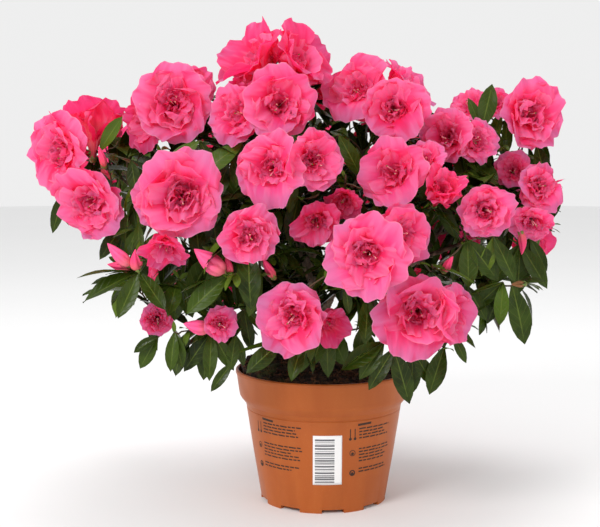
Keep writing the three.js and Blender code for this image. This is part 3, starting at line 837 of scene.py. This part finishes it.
# The sides and the back carry blossoms wherever a mass faces open air, no other blossom is near, and the
# blossom does not stand out past the outline that the masses have from the front. Shares are of its diameter.
ROUNDS, FOREMOST, LOWEST, OPEN_AIR = 60, -50 * MM, 125 * MM, 50 * MM
SUNK, KEPT_CLEAR, ROUND_SPREAD, DEEP_SPREAD, OVER_IT = 0.13, 0.42, 0.56, 0.32, 9 * MM
BEARINGS, RISES, DIAMETERS = (-20, 200), (-20, 78), (42, 58)
BACK_FORMS = ["double", "double", "rosette", "funnel", "cup"]
EDGE_WAYS = ([-1, 0, 0], [1, 0, 0], [-0.8, 0, 0.8], [0.8, 0, 0.8], [0, 0, 1])
for _ in range(ROUNDS):
    for name in [name for name in MASS_NAMES if masses[name].middle[1] > FOREMOST]:
        mass, low = masses[name], "low" in name
        way = heading(shoot_rng.uniform(*BEARINGS), shoot_rng.uniform(*RISES))
        across = shoot_rng.uniform(*DIAMETERS) * MM
        centre = mass.middle + way * (mass.reach(way) - SUNK * across)
        clear = min(np.linalg.norm(centre - other[3]) - KEPT_CLEAR * other[2] for other in blossoms)
        outward = unit(way + 0.7 * unit(centre - crown_middle))
        spread = across * (ROUND_SPREAD * np.sqrt(1 - outward**2) + DEEP_SPREAD * abs(outward))
        spread[2] += OVER_IT
        edges = [centre + spread * side for side in EDGE_WAYS]
        at_side = outward[1] > -0.25 and abs(outward[0]) > 0.7 and centre[1] > -20 * MM and not low
        at_back = outward[1] > 0.25 and (not low or outward[1] > 0.6 and centre[1] > 50 * MM)
        free = clear > KEPT_CLEAR * across and crown_gap(mass, centre, outward) > OPEN_AIR
        if (at_side or at_back) and free and centre[2] > LOWEST and all(in_outline(edge) for edge in edges):
            blossoms.append((mass, shoot_rng.choice(BACK_FORMS), across, centre, outward))

# The ends that twigs grow to: a stalk behind each blossom, the heart of each spray, then leafy shoots spread
# evenly over every mass, fewer over the low ones, and two short ones inside the crown on each limb.
BLOSSOM_STALK, SPRAY_STALK, LEAF_STALK = 0.9 * MM, 0.7 * MM, 0.55 * MM
SHOOTS, LOW_SHOOTS, LOW_FRONT_SHOOTS = 15, 12, 6
SPRAY_WAY = np.array([0, -0.6, 1.0])
GOLDEN = math.pi * (3 - math.sqrt(5))
ends = []
for mass, form, across, centre, face in blossoms:
    base = centre - face * across * BASE_BEHIND[form]
    ends.append((mass, base, face, BLOSSOM_STALK, "blossom"))
for name, heart, sprays in FRONT_SPRAYS:
    ends.append((masses[name], np.array(heart) * MM, unit(SPRAY_WAY), SPRAY_STALK, sprays))
for name in MASS_NAMES:
    mass, front_low = masses[name], name.startswith("low")
    many = LOW_FRONT_SHOOTS if front_low else LOW_SHOOTS if "low" in name else SHOOTS
    turn = shoot_rng.uniform(0, 2 * math.pi)
    for i in range(many):
        up = 1 - 2 * (i + 0.5) / many
        bearing = turn + GOLDEN * i + shoot_rng.normal(0, 0.15)
        flat = math.sqrt(1 - up * up)
        way = np.array([flat * math.cos(bearing), flat * math.sin(bearing), up])
        way = unit(way + shoot_rng.normal(0, 0.1, 3))
        share = shoot_rng.uniform(0.58, 0.80) if i % 4 else shoot_rng.uniform(0.3, 0.5)
        place = mass.middle + way * mass.reach(way) * share
        out = unit(way + 0.5 * unit(place - crown_middle) + [0, 0, 0.15])
        count, length = int(shoot_rng.integers(5, 7)), shoot_rng.uniform(29, 38) * MM
        if mass.middle[1] > 0 or way[2] > (0.0 if front_low else -0.35):
            ends.append((mass, place, out, LEAF_STALK, (count, length)))
for mass in masses.values():
    for place, _, _ in mass.wood[0:4:2]:
        out = heading(shoot_rng.uniform(0, 360), shoot_rng.uniform(-10, 50))
        place = place + out * shoot_rng.uniform(24, 40) * MM
        if in_outline(place) and place[2] > 135 * MM:
            load = (6, shoot_rng.uniform(28, 36) * MM)
            ends.append((mass, place, unit(out + [0, 0, 0.3]), LEAF_STALK, load))

# The nearest ends are reached first, so that later twigs can fork from them.
twigs = Heap()
whorls = []
ends.sort(key=lambda end: min(np.linalg.norm(end[1] - wood[0]) for wood in end[0].wood))
for mass, place, way, girth, load in ends:
    path = mass.grow(twigs, shoot_rng, place, way, girth)
    whorls.append((path, way, load))
twig_piece = twigs.piece("twigs", twig_finish())
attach(twig_piece, "root")


# Leaves: small evergreen azalea leaves, leathery and a bit glossy, dark green with a paler midrib and edge.
# They stand in whorls at the ends of the twigs and singly along them; a few are fresh green and a few bronze.
LEAF_ROWS, LEAF_COLUMNS = 7, 4
DARK_GREENS, FRESH_GREENS, BRONZE_GREENS = (0, 1, 2, 3), (4, 5), (6,)
FRONTWARD, SKYWARD = np.array([0, -1.0, 0.45]), np.array([0, 0, 1.0])
LEAF_OVER, LEAF_DROOP, PLACED_DROOP = 1 * MM, 48, 22
IN_FRONT, PLACED_IN_FRONT = 1.1, 0.6
INNER_RADIUS, INNER_LOW, INNER_HIGH = 95 * MM, 135 * MM, 250 * MM
HANGS_MOST = 42 * MM


def leaf_grid(rng, foot, way, face, length, width, droop):
    """One leaf: it leaves its foot this way, with its glossy side to face, folds a little and curls down."""
    s = np.linspace(0, 1, LEAF_ROWS + 1)[:, None]
    v = np.linspace(-1, 1, LEAF_COLUMNS + 1)[None, :]
    # Half the width at each row: a pointed oval on a short stalk.
    half = 0.5 * width * np.clip(np.sin(np.pi * s**1.08), 0, 1) ** 0.78
    half = np.maximum(half, 0.05 * width * (1 - s))
    curl = np.radians(rng.uniform(0.2, 1) * droop) * s
    fold_relief_and_painted_shading = rng.uniform(0.12, 0.42)
    stem = np.radians(rng.uniform(-12, 10))
    ahead, down = length * s * np.cos(0.5 * curl + stem), -length * s * np.sin(0.5 * curl + stem)
    wave = 0.05 * width * np.sin(7 * s + rng.uniform(0, 6)) * v
    lift = down + fold_relief_and_painted_shading * np.abs(v) * half + wave
    side = np.cross(face, way)
    grid = ahead[..., None] * way + (half * v)[..., None] * side + lift[..., None] * face
    return foot + grid


def in_a_blossom(points, in_front=IN_FRONT):
    """Whether a leaf would lie in a blossom or its tube, or less than this share of its size in front."""
    size = blossom_sizes
    gap = points[:, None] - blossom_centres[None]
    ahead = np.einsum("ijk,jk->ij", gap, blossom_faces)
    aside = np.sqrt(np.maximum((gap**2).sum(-1) - ahead**2, 0))
    shadow = (ahead > -0.14 * size) & (ahead < in_front * size) & (aside < 0.46 * size)
    tube = (ahead > -0.3 * size) & (ahead <= 0) & (aside < 0.24 * size)
    return bool((shadow | tube).any())


def in_the_pot(points):
    """Whether a leaf would touch the rim or hang far down beside the pot."""
    out = np.linalg.norm(points[:, :2], axis=1)
    beside = (points[:, 2] < RIM_HEIGHT + 1 * MM) & (out < RIM_RADIUS + 1.5 * MM)
    return bool((beside | (points[:, 2] < RIM_HEIGHT - HANGS_MOST)).any())


def past_the_crown(place):
    """Whether a leaf's tip is out of every mass, and not in the middle of the plant either."""
    inner = np.linalg.norm(place[:2]) < INNER_RADIUS and INNER_LOW < place[2] < INNER_HIGH
    return not inner and not any(mass.holds(place, LEAF_OVER) for mass in masses.values())


def add_leaf(heaps, rng, foot, way, length, tile, placed=False):
    """A leaf of this length. A listed leaf shows its face to the front where it hangs or stands, and
    to the sky where it lies flat; it is a little narrower and straighter than the others."""
    hang = smooth((abs(way[2]) - 0.25) / 0.4) if placed else 0
    shake = rng.normal(0, 0.1 if placed else 0.2, 3)
    side = unit(np.cross(way, hang * FRONTWARD + (1 - hang) * SKYWARD + shake))
    face = unit(np.cross(side, way))
    width = length * (rng.uniform(0.30, 0.42) if placed else rng.uniform(0.34, 0.44))
    grid = leaf_grid(rng, foot, way, face, length, width, PLACED_DROOP if placed else LEAF_DROOP)
    middle = grid[1:, LEAF_COLUMNS // 2]
    barred = in_a_blossom(middle, PLACED_IN_FRONT if placed else IN_FRONT) or in_the_pot(middle)
    if not barred and (placed or not past_the_crown(middle[-1])):
        heaps[len(heaps[0].points) > len(heaps[1].points)].sheet(grid, tile)


def add_whorl(heaps, rng, place, way, count, length, spread, tiles):
    """Leaves all round the end of a twig, each open from it by about this spread in degrees."""
    side = unit(np.cross(way, [0.3, 0.2, 0.9]))
    other = np.cross(way, side)
    turn = rng.uniform(0, 2 * math.pi)
    for i in range(count):
        angle = turn + 2 * math.pi * i / count + rng.normal(0, 0.16)
        open_by = math.radians(spread + rng.normal(0, 9))
        out = math.cos(angle) * side + math.sin(angle) * other
        lean = unit(math.cos(open_by) * way + math.sin(open_by) * out + [0, 0, -0.12])
        foot = place - way * rng.uniform(0, 3) * MM
        add_leaf(heaps, rng, foot, lean, length * rng.uniform(0.78, 1.08), int(rng.choice(tiles)))


def tile_number(finish):
    """Which tile of the map a place is on, from 0 to 1, and how far across and up the map it is, in tiles."""
    spot = finish.node("ShaderNodeUVMap", {"uv_map": MAP_NAME})
    split = finish.nodes.new("ShaderNodeSeparateXYZ")
    finish.links.new(spot.socket, split.inputs[0])
    u, v = (Value(finish, split.outputs[i]) * (TILES_ACROSS, TILES_UP)[i] for i in (0, 1))
    tile = (u - u % 1.0 + (v - v % 1.0) * TILES_ACROSS + 0.5) / (TILES_ACROSS * TILES_UP)
    return tile, u, v


def dealt(finish, tile, colours):
    """One plain colour for each tile of the map."""
    stops = [(i / (TILES_ACROSS * TILES_UP), colour) for i, colour in enumerate(colours)]
    ramp = finish.node("ShaderNodeValToRGB", {"stops": stops}, {"Fac": tile})
    ramp.socket.node.color_ramp.interpolation = "CONSTANT"
    return ramp


def leaf_finish():
    finish = Finish("leaf_skin", Specular_IOR_Level=0.14)
    tile, u, v = tile_number(finish)
    across, along = abs((u % 1.0) * 2 - 1), v % 1.0
    greens = [(0.020, 0.036, 0.003), (0.028, 0.048, 0.004), (0.014, 0.024, 0.003), (0.034, 0.060, 0.005),
              (0.060, 0.105, 0.008), (0.095, 0.150, 0.014), (0.052, 0.034, 0.010)]
    green = dealt(finish, tile, greens)
    cloud = finish.noise(110, 2.0)
    colour = finish.blend(finish.step(cloud, 0.35, 0.7, 0.0, 0.45), green, (0.046, 0.078, 0.008))
    side_vein = finish.step(abs((along * 7 + across * 1.6) % 1.0 - 0.5), 0.40, 0.5) * 0.25
    midrib = finish.step(across, 0.09, 0.02) * finish.step(along, 1.0, 0.5, 0.2, 0.5)
    edge = finish.step(across, 0.90, 1.0) * 0.25
    colour = finish.blend(midrib + edge + side_vein * 0.6, colour, (0.14, 0.19, 0.03))
    return finish.vary(
        Base_Color=colour,
        Roughness=finish.step(cloud, 0.3, 0.7, 0.22, 0.38),
        Normal=finish.bump(finish.noise(300, 2.0) + side_vein * 3, 0.3, 0.0006),
    )


blossom_centres = np.array([blossom[3] for blossom in blossoms])
blossom_faces = np.array([blossom[4] for blossom in blossoms])
blossom_sizes = np.array([blossom[2] for blossom in blossoms])
leaf_rng = np.random.default_rng(31)
leaves = [Heap(), Heap()]
for path, way, load in whorls:
    kind, tiles = leaf_rng.uniform(), DARK_GREENS
    if kind < 0.16:
        tiles = FRESH_GREENS + DARK_GREENS[:2]
    elif kind < 0.3:
        tiles = DARK_GREENS + BRONZE_GREENS
    if load == "blossom":
        add_whorl(leaves, leaf_rng, path[-1] - way * 5 * MM, way, 5, leaf_rng.uniform(28, 35) * MM, 84, tiles)
    elif isinstance(load, list):
        for clock, forward, length in load:
            clock, forward = math.radians(clock), math.radians(forward)
            lean = np.array([math.cos(clock), -math.tan(forward), math.sin(clock)])
            tile = int(leaf_rng.choice(FRESH_GREENS if leaf_rng.uniform() < 0.08 else DARK_GREENS))
            add_leaf(leaves, leaf_rng, path[-1], unit(lean), length * MM, tile, placed=True)
        add_whorl(leaves, leaf_rng, path[-1], way, 3, 11 * MM, 30, FRESH_GREENS)
    else:
        count, length = load
        add_whorl(leaves, leaf_rng, path[-1], way, count, length, 70, tiles)
        add_whorl(leaves, leaf_rng, path[-1], way, 3, 0.4 * length, 26, FRESH_GREENS)
    for i in range(2 * len(path) // 3, len(path) - 1):
        ahead = unit(path[i + 1] - path[i])
        aside = unit(np.cross(ahead, leaf_rng.normal(0, 1, 3)))
        lean = unit(0.5 * ahead + aside + [0, 0, -0.1])
        add_leaf(leaves, leaf_rng, path[i], lean, leaf_rng.uniform(20, 31) * MM, int(leaf_rng.choice(tiles)))
leaf_skin = leaf_finish()
for number, heap in enumerate(leaves):
    piece = heap.piece(f"leaves_{number + 1}", leaf_skin)
    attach(piece, "root")
    names = [mass.node.name for mass in masses.values()][number::2]
    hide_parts(*names)


# Blossoms: double azalea flowers about 5 cm across. Each is a funnel of five broad ruffled petals with rings
# of smaller petals and crumpled petal-like stamens inside it. Every petal is one thin soft sheet, and the
# tile of the map that it lies on gives its colour.
OPEN_PINKS, INNER_PINKS_WITH_PAINTED_LIGHT, OUTSIDE_PINKS = (0, 1, 2), (3, 4, 5), (6,)
TUBE_LEAN, TUBE_RADIUS, TUBE_HALF, PETAL_STEPS = 9.0, 1.4, 2.2, 60

# Each form is its rings of petals, outermost first: how many, length and width as shares of the flower's
# diameter, how far the tip leans out from the flower's axis, the share that is tube, the height of its
# ruffles in mm, how far up the tube it starts as a share of the diameter, and the tiles that it may take.
BLOSSOM_FORMS = {
    "double": [
        (5, 0.79, 0.68, 90, 0.30, 2.0, 0.00, OPEN_PINKS),
        (5, 0.66, 0.54, 72, 0.32, 2.6, 0.02, OPEN_PINKS),
        (5, 0.48, 0.40, 64, 0.26, 3.2, 0.10, OPEN_PINKS),
        (6, 0.32, 0.28, 64, 0.14, 3.6, 0.19, INNER_PINKS_WITH_PAINTED_LIGHT),
        (5, 0.22, 0.20, 52, 0.08, 3.2, 0.24, INNER_PINKS_WITH_PAINTED_LIGHT),
        (4, 0.15, 0.17, 44, 0.05, 2.6, 0.28, INNER_PINKS_WITH_PAINTED_LIGHT),
    ],
    "funnel": [
        (5, 0.99, 0.66, 66, 0.34, 1.9, 0.00, OUTSIDE_PINKS),
        (4, 0.80, 0.56, 48, 0.36, 2.2, 0.03, OPEN_PINKS),
        (5, 0.46, 0.30, 38, 0.26, 3.6, 0.19, INNER_PINKS_WITH_PAINTED_LIGHT),
        (4, 0.30, 0.22, 26, 0.20, 3.4, 0.30, INNER_PINKS_WITH_PAINTED_LIGHT),
    ],
    "rosette": [
        (5, 0.77, 0.68, 96, 0.28, 2.1, 0.00, OPEN_PINKS),
        (5, 0.64, 0.54, 78, 0.30, 2.7, 0.01, OPEN_PINKS),
        (5, 0.52, 0.42, 66, 0.26, 3.4, 0.07, OPEN_PINKS),
        (6, 0.34, 0.31, 66, 0.14, 3.8, 0.17, OPEN_PINKS),
        (6, 0.23, 0.21, 54, 0.08, 3.4, 0.23, INNER_PINKS_WITH_PAINTED_LIGHT),
        (4, 0.16, 0.18, 46, 0.05, 2.8, 0.28, INNER_PINKS_WITH_PAINTED_LIGHT),
    ],
    "cup": [
        (5, 1.04, 0.66, 40, 0.30, 2.2, 0.00, OUTSIDE_PINKS),
        (4, 0.92, 0.50, 28, 0.32, 2.8, 0.00, OPEN_PINKS),
        (5, 0.56, 0.34, 26, 0.26, 3.4, 0.28, INNER_PINKS_WITH_PAINTED_LIGHT),
        (5, 0.30, 0.24, 34, 0.20, 3.4, 0.42, INNER_PINKS_WITH_PAINTED_LIGHT),
    ],
}


def petal_grid(rng, length, width, opening, tube, ruffle):
    """One petal in the flower's frame, in mm: it leaves the heart along +Z and leans out along +X."""
    rows, columns = (14, 14) if width > 18 else (9, 8)
    s = np.linspace(0, 1, rows + 1)[:, None] ** 0.9
    v = np.linspace(-1, 1, columns + 1)[None, :]
    v = v * (1.18 - 0.18 * v**2)
    # The petal's middle line leaves the heart up the tube and leans out; its tip may curl back.
    fine = np.linspace(0, 1, PETAL_STEPS + 1)
    reflex = rng.uniform(-10, 24)
    lean = np.radians(TUBE_LEAN + (opening - TUBE_LEAN) * smooth((fine - tube * 0.6) / (1 - tube * 0.6)))
    lean += np.radians(reflex) * fine**5
    out = TUBE_RADIUS + length * np.concatenate([[0], np.cumsum(np.sin(lean[1:]))]) / PETAL_STEPS
    up = length * np.concatenate([[0], np.cumsum(np.cos(lean[1:]))]) / PETAL_STEPS
    # Its outline: a round tip with a small notch, and scalloped sides.
    notch = 0.05 * rng.uniform(-0.2, 1) * np.exp(-((v / 0.2) ** 2))
    notch = notch + 0.030 * np.sin(rng.uniform(6, 11) * v + rng.uniform(0, 6))
    along = s - (0.25 * np.abs(v) ** 2.3 + notch) * smooth((s - 0.4) / 0.6)
    half = TUBE_HALF + (0.5 * width - TUBE_HALF) * smooth((s - 0.4 * tube) / 0.5)
    scallop = 0.03 * np.sin(2 * np.pi * rng.uniform(1.2, 2.2) * s + rng.uniform(0, 6))
    half = half * (1 - 0.10 * smooth((s - 0.8) / 0.2) + scallop * smooth((s - 0.3) / 0.3))
    # Across, it bends round the tube and is nearly flat in the open.
    x, z = np.interp(along, fine, out), np.interp(along, fine, up)
    angle = np.interp(along, fine, lean)
    bend_free = rng.uniform(-0.008, 0.040)
    bend = (1 - smooth((s - 0.55 * tube) / 0.4)) / np.maximum(x, 1.2) + smooth((s - 0.3) / 0.5) * bend_free
    arc = np.clip(bend * half * v, -1.4, 1.4)
    bend = np.where(np.abs(bend) < 1e-4, 1e-4, bend)
    aside, lift = np.sin(arc) / bend, (1 - np.cos(arc)) / bend
    # Its ruffles: waves along both sides, at the tip and over the whole, a crease, pleats and a crimped rim.
    free = smooth((s - 0.3) / 0.7)
    waves = rng.uniform(1.6, 2.8)
    side = 1.1 * np.sin(2 * np.pi * (waves * s + 0.2 * np.sign(v)) + rng.uniform(0, 6)) * np.abs(v) ** 2.2
    tip = 0.7 * np.sin(np.pi * rng.uniform(1.4, 2.2) * v + rng.uniform(0, 6)) * s**3
    wide = 0.8 * np.sin(2.2 * s + 1.7 * v * rng.choice([-1, 1]) + rng.uniform(0, 6))
    crease = -0.5 * np.exp(-((v / 0.14) ** 2)) * smooth(s / 0.3) * (1 - smooth((s - 0.75) / 0.25))
    pleat = 0.24 * np.sin(np.pi * rng.uniform(2.6, 3.6) * v + rng.uniform(-1, 1) * s * 2 + rng.uniform(0, 6))
    rim = 0.48 * np.sin(np.pi * rng.uniform(3.0, 4.4) * v + rng.uniform(0, 6)) * s**5
    lift = lift + ruffle * free * (side + tip + wide + pleat + rim) + crease
    turn = np.radians(rng.uniform(-16, 16)) * free
    aside, lift = aside * np.cos(turn) - lift * np.sin(turn), aside * np.sin(turn) + lift * np.cos(turn)
    return np.stack([x - np.cos(angle) * lift, aside, z + np.sin(angle) * lift], -1)


def turned(grid, turn):
    """The grid turned round the flower's axis."""
    c, s = math.cos(turn), math.sin(turn)
    return grid @ np.array([[c, s, 0], [-s, c, 0], [0, 0, 1]])


def blossom_sheets(rng, form, diameter):
    """The petals of one flower, in its own frame, each with its tile."""
    sheets = []
    start, openness = rng.uniform(0, 2 * np.pi), rng.uniform(0.85, 1.03)
    for ring, (count, length, width, opening, tube, ruffle, raised, tiles) in enumerate(BLOSSOM_FORMS[form]):
        for i in range(count):
            turn = start + 2 * np.pi * (i + 0.5 * (ring % 2) + rng.normal(0, 0.05 + 0.03 * ring)) / count
            petal = petal_grid(
                rng,
                diameter * length * rng.uniform(0.86, 1.06),
                diameter * width * rng.uniform(0.86, 1.12),
                opening * openness + rng.normal(0, 7 + 4 * ring),
                tube,
                ruffle * diameter / 55,
            )
            sheets.append((turned(petal, turn) + [0, 0, raised * diameter], int(rng.choice(tiles))))
    return sheets


def facing(way):
    """The three axes, as rows, of a frame whose third axis points this way."""
    side = unit(np.cross([0.05, 0.02, 1.0], way))
    return np.stack([side, np.cross(way, side), way])


def petal_finish():
    finish = Finish("petal_skin", Roughness=0.6, Specular_IOR_Level=0.07)
    tile, u, v = tile_number(finish)
    across, along = abs((u % 1.0) * 2 - 1), v % 1.0
    limb_pinks = [(0.98, 0.088, 0.345), (0.96, 0.068, 0.295), (1.00, 0.120, 0.420), (1.00, 0.105, 0.340),
                  (1.00, 0.080, 0.285), (1.00, 0.130, 0.380), (0.93, 0.055, 0.240)]
    # The throats of the inner petals (tiles 3 to 5) are painted lighter than those of the open petals, as
    # painted light that lifts the shade deep in the heart.
    throat_pinks = [(0.98, 0.018, 0.120), (0.96, 0.014, 0.105), (0.99, 0.024, 0.150), (1.00, 0.060, 0.210),
                    (1.00, 0.045, 0.170), (1.00, 0.080, 0.250), (0.94, 0.200, 0.250)]
    limb, throat = (dealt(finish, tile, pinks) for pinks in (limb_pinks, throat_pinks))
    colour = finish.blend(finish.step(along, 0.24, 0.70), throat, limb)
    outer = finish.step(tile, 0.40, 0.36, 0.45, 1.0)
    # Paler towards the tip of each outer petal: partly the petal's own colour, partly a painted highlight.
    colour = finish.blend(finish.step(along, 0.60, 1.0, 0.0, 0.62) * outer, colour, (1.0, 0.40, 0.76))
    stretched = finish.node("ShaderNodeCombineXYZ", None, {0: u * 26, 1: v * 3, 2: 0.0})
    # Painted shading of the petals' folds: pale streaks are painted highlights and deep red streaks are
    # painted shade; the same pattern also gives the folds their bump.
    fold_shading_place = finish.node("ShaderNodeCombineXYZ", None, {0: u * 8, 1: v * 2.2, 2: 4.0})
    fold_relief_and_painted_shading = finish.noise(1.0, 1.0, place=fold_shading_place)
    colour = finish.blend(finish.step(fold_relief_and_painted_shading, 0.48, 0.30, 0.0, 0.50), colour, (1.0, 0.36, 0.70))
    colour = finish.blend(finish.step(fold_relief_and_painted_shading, 0.50, 0.72, 0.0, 0.50), colour, (0.96, 0.018, 0.140))
    veins = finish.step(finish.noise(1.0, place=stretched), 0.5, 0.72)
    veins = veins * finish.step(along, 0.96, 0.4, 0.0, 0.6)
    colour = finish.blend(veins * 0.5, colour, throat)
    midrib = finish.step(across, 0.05, 0.0) * finish.step(along, 0.85, 0.3) * 0.4
    colour = finish.blend(midrib, colour, throat)
    rim = finish.step(across, 0.91, 0.98) + finish.step(along, 0.95, 0.99)
    colour = finish.blend(rim * 0.6 * outer, colour, (1.0, 0.58, 0.74))
    rough = finish.step(along, 0.2, 0.9, 0.42, 0.6)
    bump = finish.bump(fold_relief_and_painted_shading + finish.noise(1.0, 3.0, place=stretched) * 0.2, 0.6, 0.003)
    finish.vary(Base_Color=colour, Roughness=rough, Normal=bump)
    return finish.let_light_through(0.55, (1.0, 0.030, 0.180))


petals = [Heap(), Heap(), Heap(), Heap()]
for number, (mass, form, across, centre, face) in enumerate(blossoms):
    axes, bloom_rng = facing(face), np.random.default_rng(101 + number)
    base = centre - face * across * BASE_BEHIND[form]
    for grid, tile in blossom_sheets(bloom_rng, form, across / MM):
        petals[number % len(petals)].sheet(grid * MM @ axes + base, tile)
petal_skin = petal_finish()
for number, heap in enumerate(petals):
    piece = heap.piece(f"blossoms_{number + 1}", petal_skin)
    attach(piece, "root")


# Hearts and buds: the pale threads and the pistil in the middle of each open flower, the green cup and stalk
# behind it, and the closed buds that still stand among the leaves.
THREAD_PINK, CUP_GREEN, TIP_BUFF, SCALE_BROWN, BUD_PINKS = 0, 1, 2, 3, (4, 5)
BUD_STALK, BACK_BUDS, SMALL_BUD, THREADS, THREAD_POINTS = 0.7 * MM, 26, 11, 3, 6

# The closed buds of the front: mass, place of the foot in mm, the way it points (90 is up, 180 is left), how
# far it leans to the front, its length and its radius in mm.
FRONT_BUDS = [
    ("low_left", (-130, -90, 182), 132, 10, 21, 5.0),
    ("low_left", (-124, -92, 179), 95, 15, 16, 4.8),
    ("low_left", (-128, -86, 180), 172, -5, 18, 4.0),
    ("centre_left", (-66, -114, 180), 140, 10, 25, 7.2),
    ("centre_left", (-62, -112, 179), 100, 10, 13, 3.0),
    ("low_left_front", (-76, -106, 142), 165, 10, 18, 5.6),
    ("centre_left", (-34, -110, 176), 117, 10, 15, 3.4),
    ("left", (-150, -62, 246), 104, 5, 15, 3.0),
    ("centre_right", (76, -100, 179), 60, 15, 13, 3.2),
    ("low_right", (136, -66, 167), 180, 10, 10, 2.6),
    ("low_left", (-118, -84, 160), 80, 10, 16, 3.6),
    ("far_right", (134, -56, 202), 268, 10, 16, 3.4),
]


def bud_grid(rng, length, girth):
    """A closed bud along +Z, with the twist of its folded petals."""
    s = np.linspace(0, 1, 15)[:, None]
    turn = np.linspace(0, 2 * np.pi, 31)[None, :]
    shape = np.sin(np.pi * np.clip(s, 0, 1) ** 0.72) ** 0.75 * (1 - 0.25 * s)
    folds = 1 - np.abs(np.sin(2.5 * turn + 2.5 * s + rng.uniform(0, 6)))
    swell = 1 + 0.12 * np.sin(turn + rng.uniform(0, 6)) * s
    radius = girth * shape * swell * (1 - 0.42 * folds**2 * smooth(s / 0.3))
    lean = 0.08 * length * np.sin(2 * s + rng.uniform(0, 6))
    return np.stack([radius * np.cos(turn) + lean, radius * np.sin(turn), length * s + 0 * turn], -1)


def cup_grid(reach, girth, points):
    """The green cup behind a flower: five small lobes that hold its tube."""
    s = np.linspace(0, 1, 5)[:, None]
    turn = np.linspace(0, 2 * np.pi, 21)[None, :]
    radius = girth * (0.25 + 0.75 * np.sin(0.5 * np.pi * np.clip(s * 1.6, 0, 1)))
    height = reach * s * (1 + 0.5 * s * np.cos(points * turn))
    return np.stack([radius * np.cos(turn), radius * np.sin(turn), height - 0.4 * reach], -1)


def heart_finish():
    finish = Finish("heart_skin", Roughness=0.5, Specular_IOR_Level=0.35)
    tile, _, v = tile_number(finish)
    hues = [(0.96, 0.42, 0.50), (0.16, 0.24, 0.05), (0.86, 0.50, 0.38), (0.24, 0.10, 0.03),
            (0.88, 0.050, 0.180), (0.92, 0.085, 0.260)]
    shade = finish.step(v % 1.0, 0.0, 0.6, 0.5, 0.0)
    colour = finish.blend(shade, dealt(finish, tile, hues), (0.50, 0.22, 0.10))
    grain = finish.noise(600, 2.0)
    return finish.vary(Base_Color=colour, Normal=finish.bump(grain, 0.3, 0.0003))


hearts = Heap()
heart_rng = np.random.default_rng(77)
for mass, form, across, centre, face in blossoms:
    axes, size = facing(face), across / MM
    base = centre - face * across * BASE_BEHIND[form]
    hearts.sheet(cup_grid(3.2, 2.6, 5) * MM @ axes + base, CUP_GREEN)
    for i in range(THREADS):
        turn, lean = heart_rng.uniform(0, 2 * math.pi), heart_rng.uniform(0.06, 0.26)
        tall = size * heart_rng.uniform(0.34, 0.48) * (1.12 if i == 0 else 1)
        t = np.linspace(0, 1, THREAD_POINTS)
        out = tall * lean * t**1.6
        line = np.stack([out * math.cos(turn), out * math.sin(turn), 3 + tall * t], -1)
        girth = np.linspace(0.36, 0.22, THREAD_POINTS) * (1.4 if i == 0 else 1)
        hearts.rod(line * MM @ axes + base, girth * MM, 4, THREAD_PINK)
        knob = np.stack([line[-1] - [0, 0, 0.6], line[-1], line[-1] + [0, 0, 0.7]])
        knob_hue = CUP_GREEN if i == 0 else TIP_BUFF
        hearts.rod(knob * MM @ axes + base, np.array([0.25, 0.5, 0.25]) * MM, 5, knob_hue)


def add_bud(base, way, length, girth, tile):
    """A closed bud with its green cup."""
    axes = facing(way)
    hearts.sheet(bud_grid(heart_rng, length, girth) * MM @ axes + base, tile)
    hearts.sheet(cup_grid(3.0, 2.2, 5) * MM @ axes + base, CUP_GREEN)


for name, foot, clock, forward, length, girth in FRONT_BUDS:
    clock, forward, base = math.radians(clock), math.radians(forward), np.array(foot) * MM
    point = unit(np.array([math.cos(clock), -math.tan(forward), math.sin(clock)]))
    masses[name].grow(hearts, heart_rng, base, point, BUD_STALK, CUP_GREEN)
    hue = int(heart_rng.choice(BUD_PINKS)) if length > SMALL_BUD else SCALE_BROWN
    add_bud(base, point, length, girth, hue)
for i in range(BACK_BUDS):
    mass = masses[MASS_NAMES[i % len(MASS_NAMES)]]
    way = heading(heart_rng.uniform(10, 170), heart_rng.uniform(-20, 80))
    base = mass.middle + way * mass.reach(way) * 0.8
    point = unit(way + [0, 0, 0.6])
    free = crown_gap(mass, base, point) > 70 * MM and not in_a_blossom(np.array([base]))
    if free and in_outline(base + point * (30 * MM)):
        mass.grow(hearts, heart_rng, base, point, BUD_STALK, CUP_GREEN)
        length = heart_rng.uniform(12, 24)
        add_bud(base, point, length, 0.25 * length, int(heart_rng.choice(BUD_PINKS)))
heart_piece = hearts.piece("hearts_and_buds", heart_finish())
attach(heart_piece, "root")
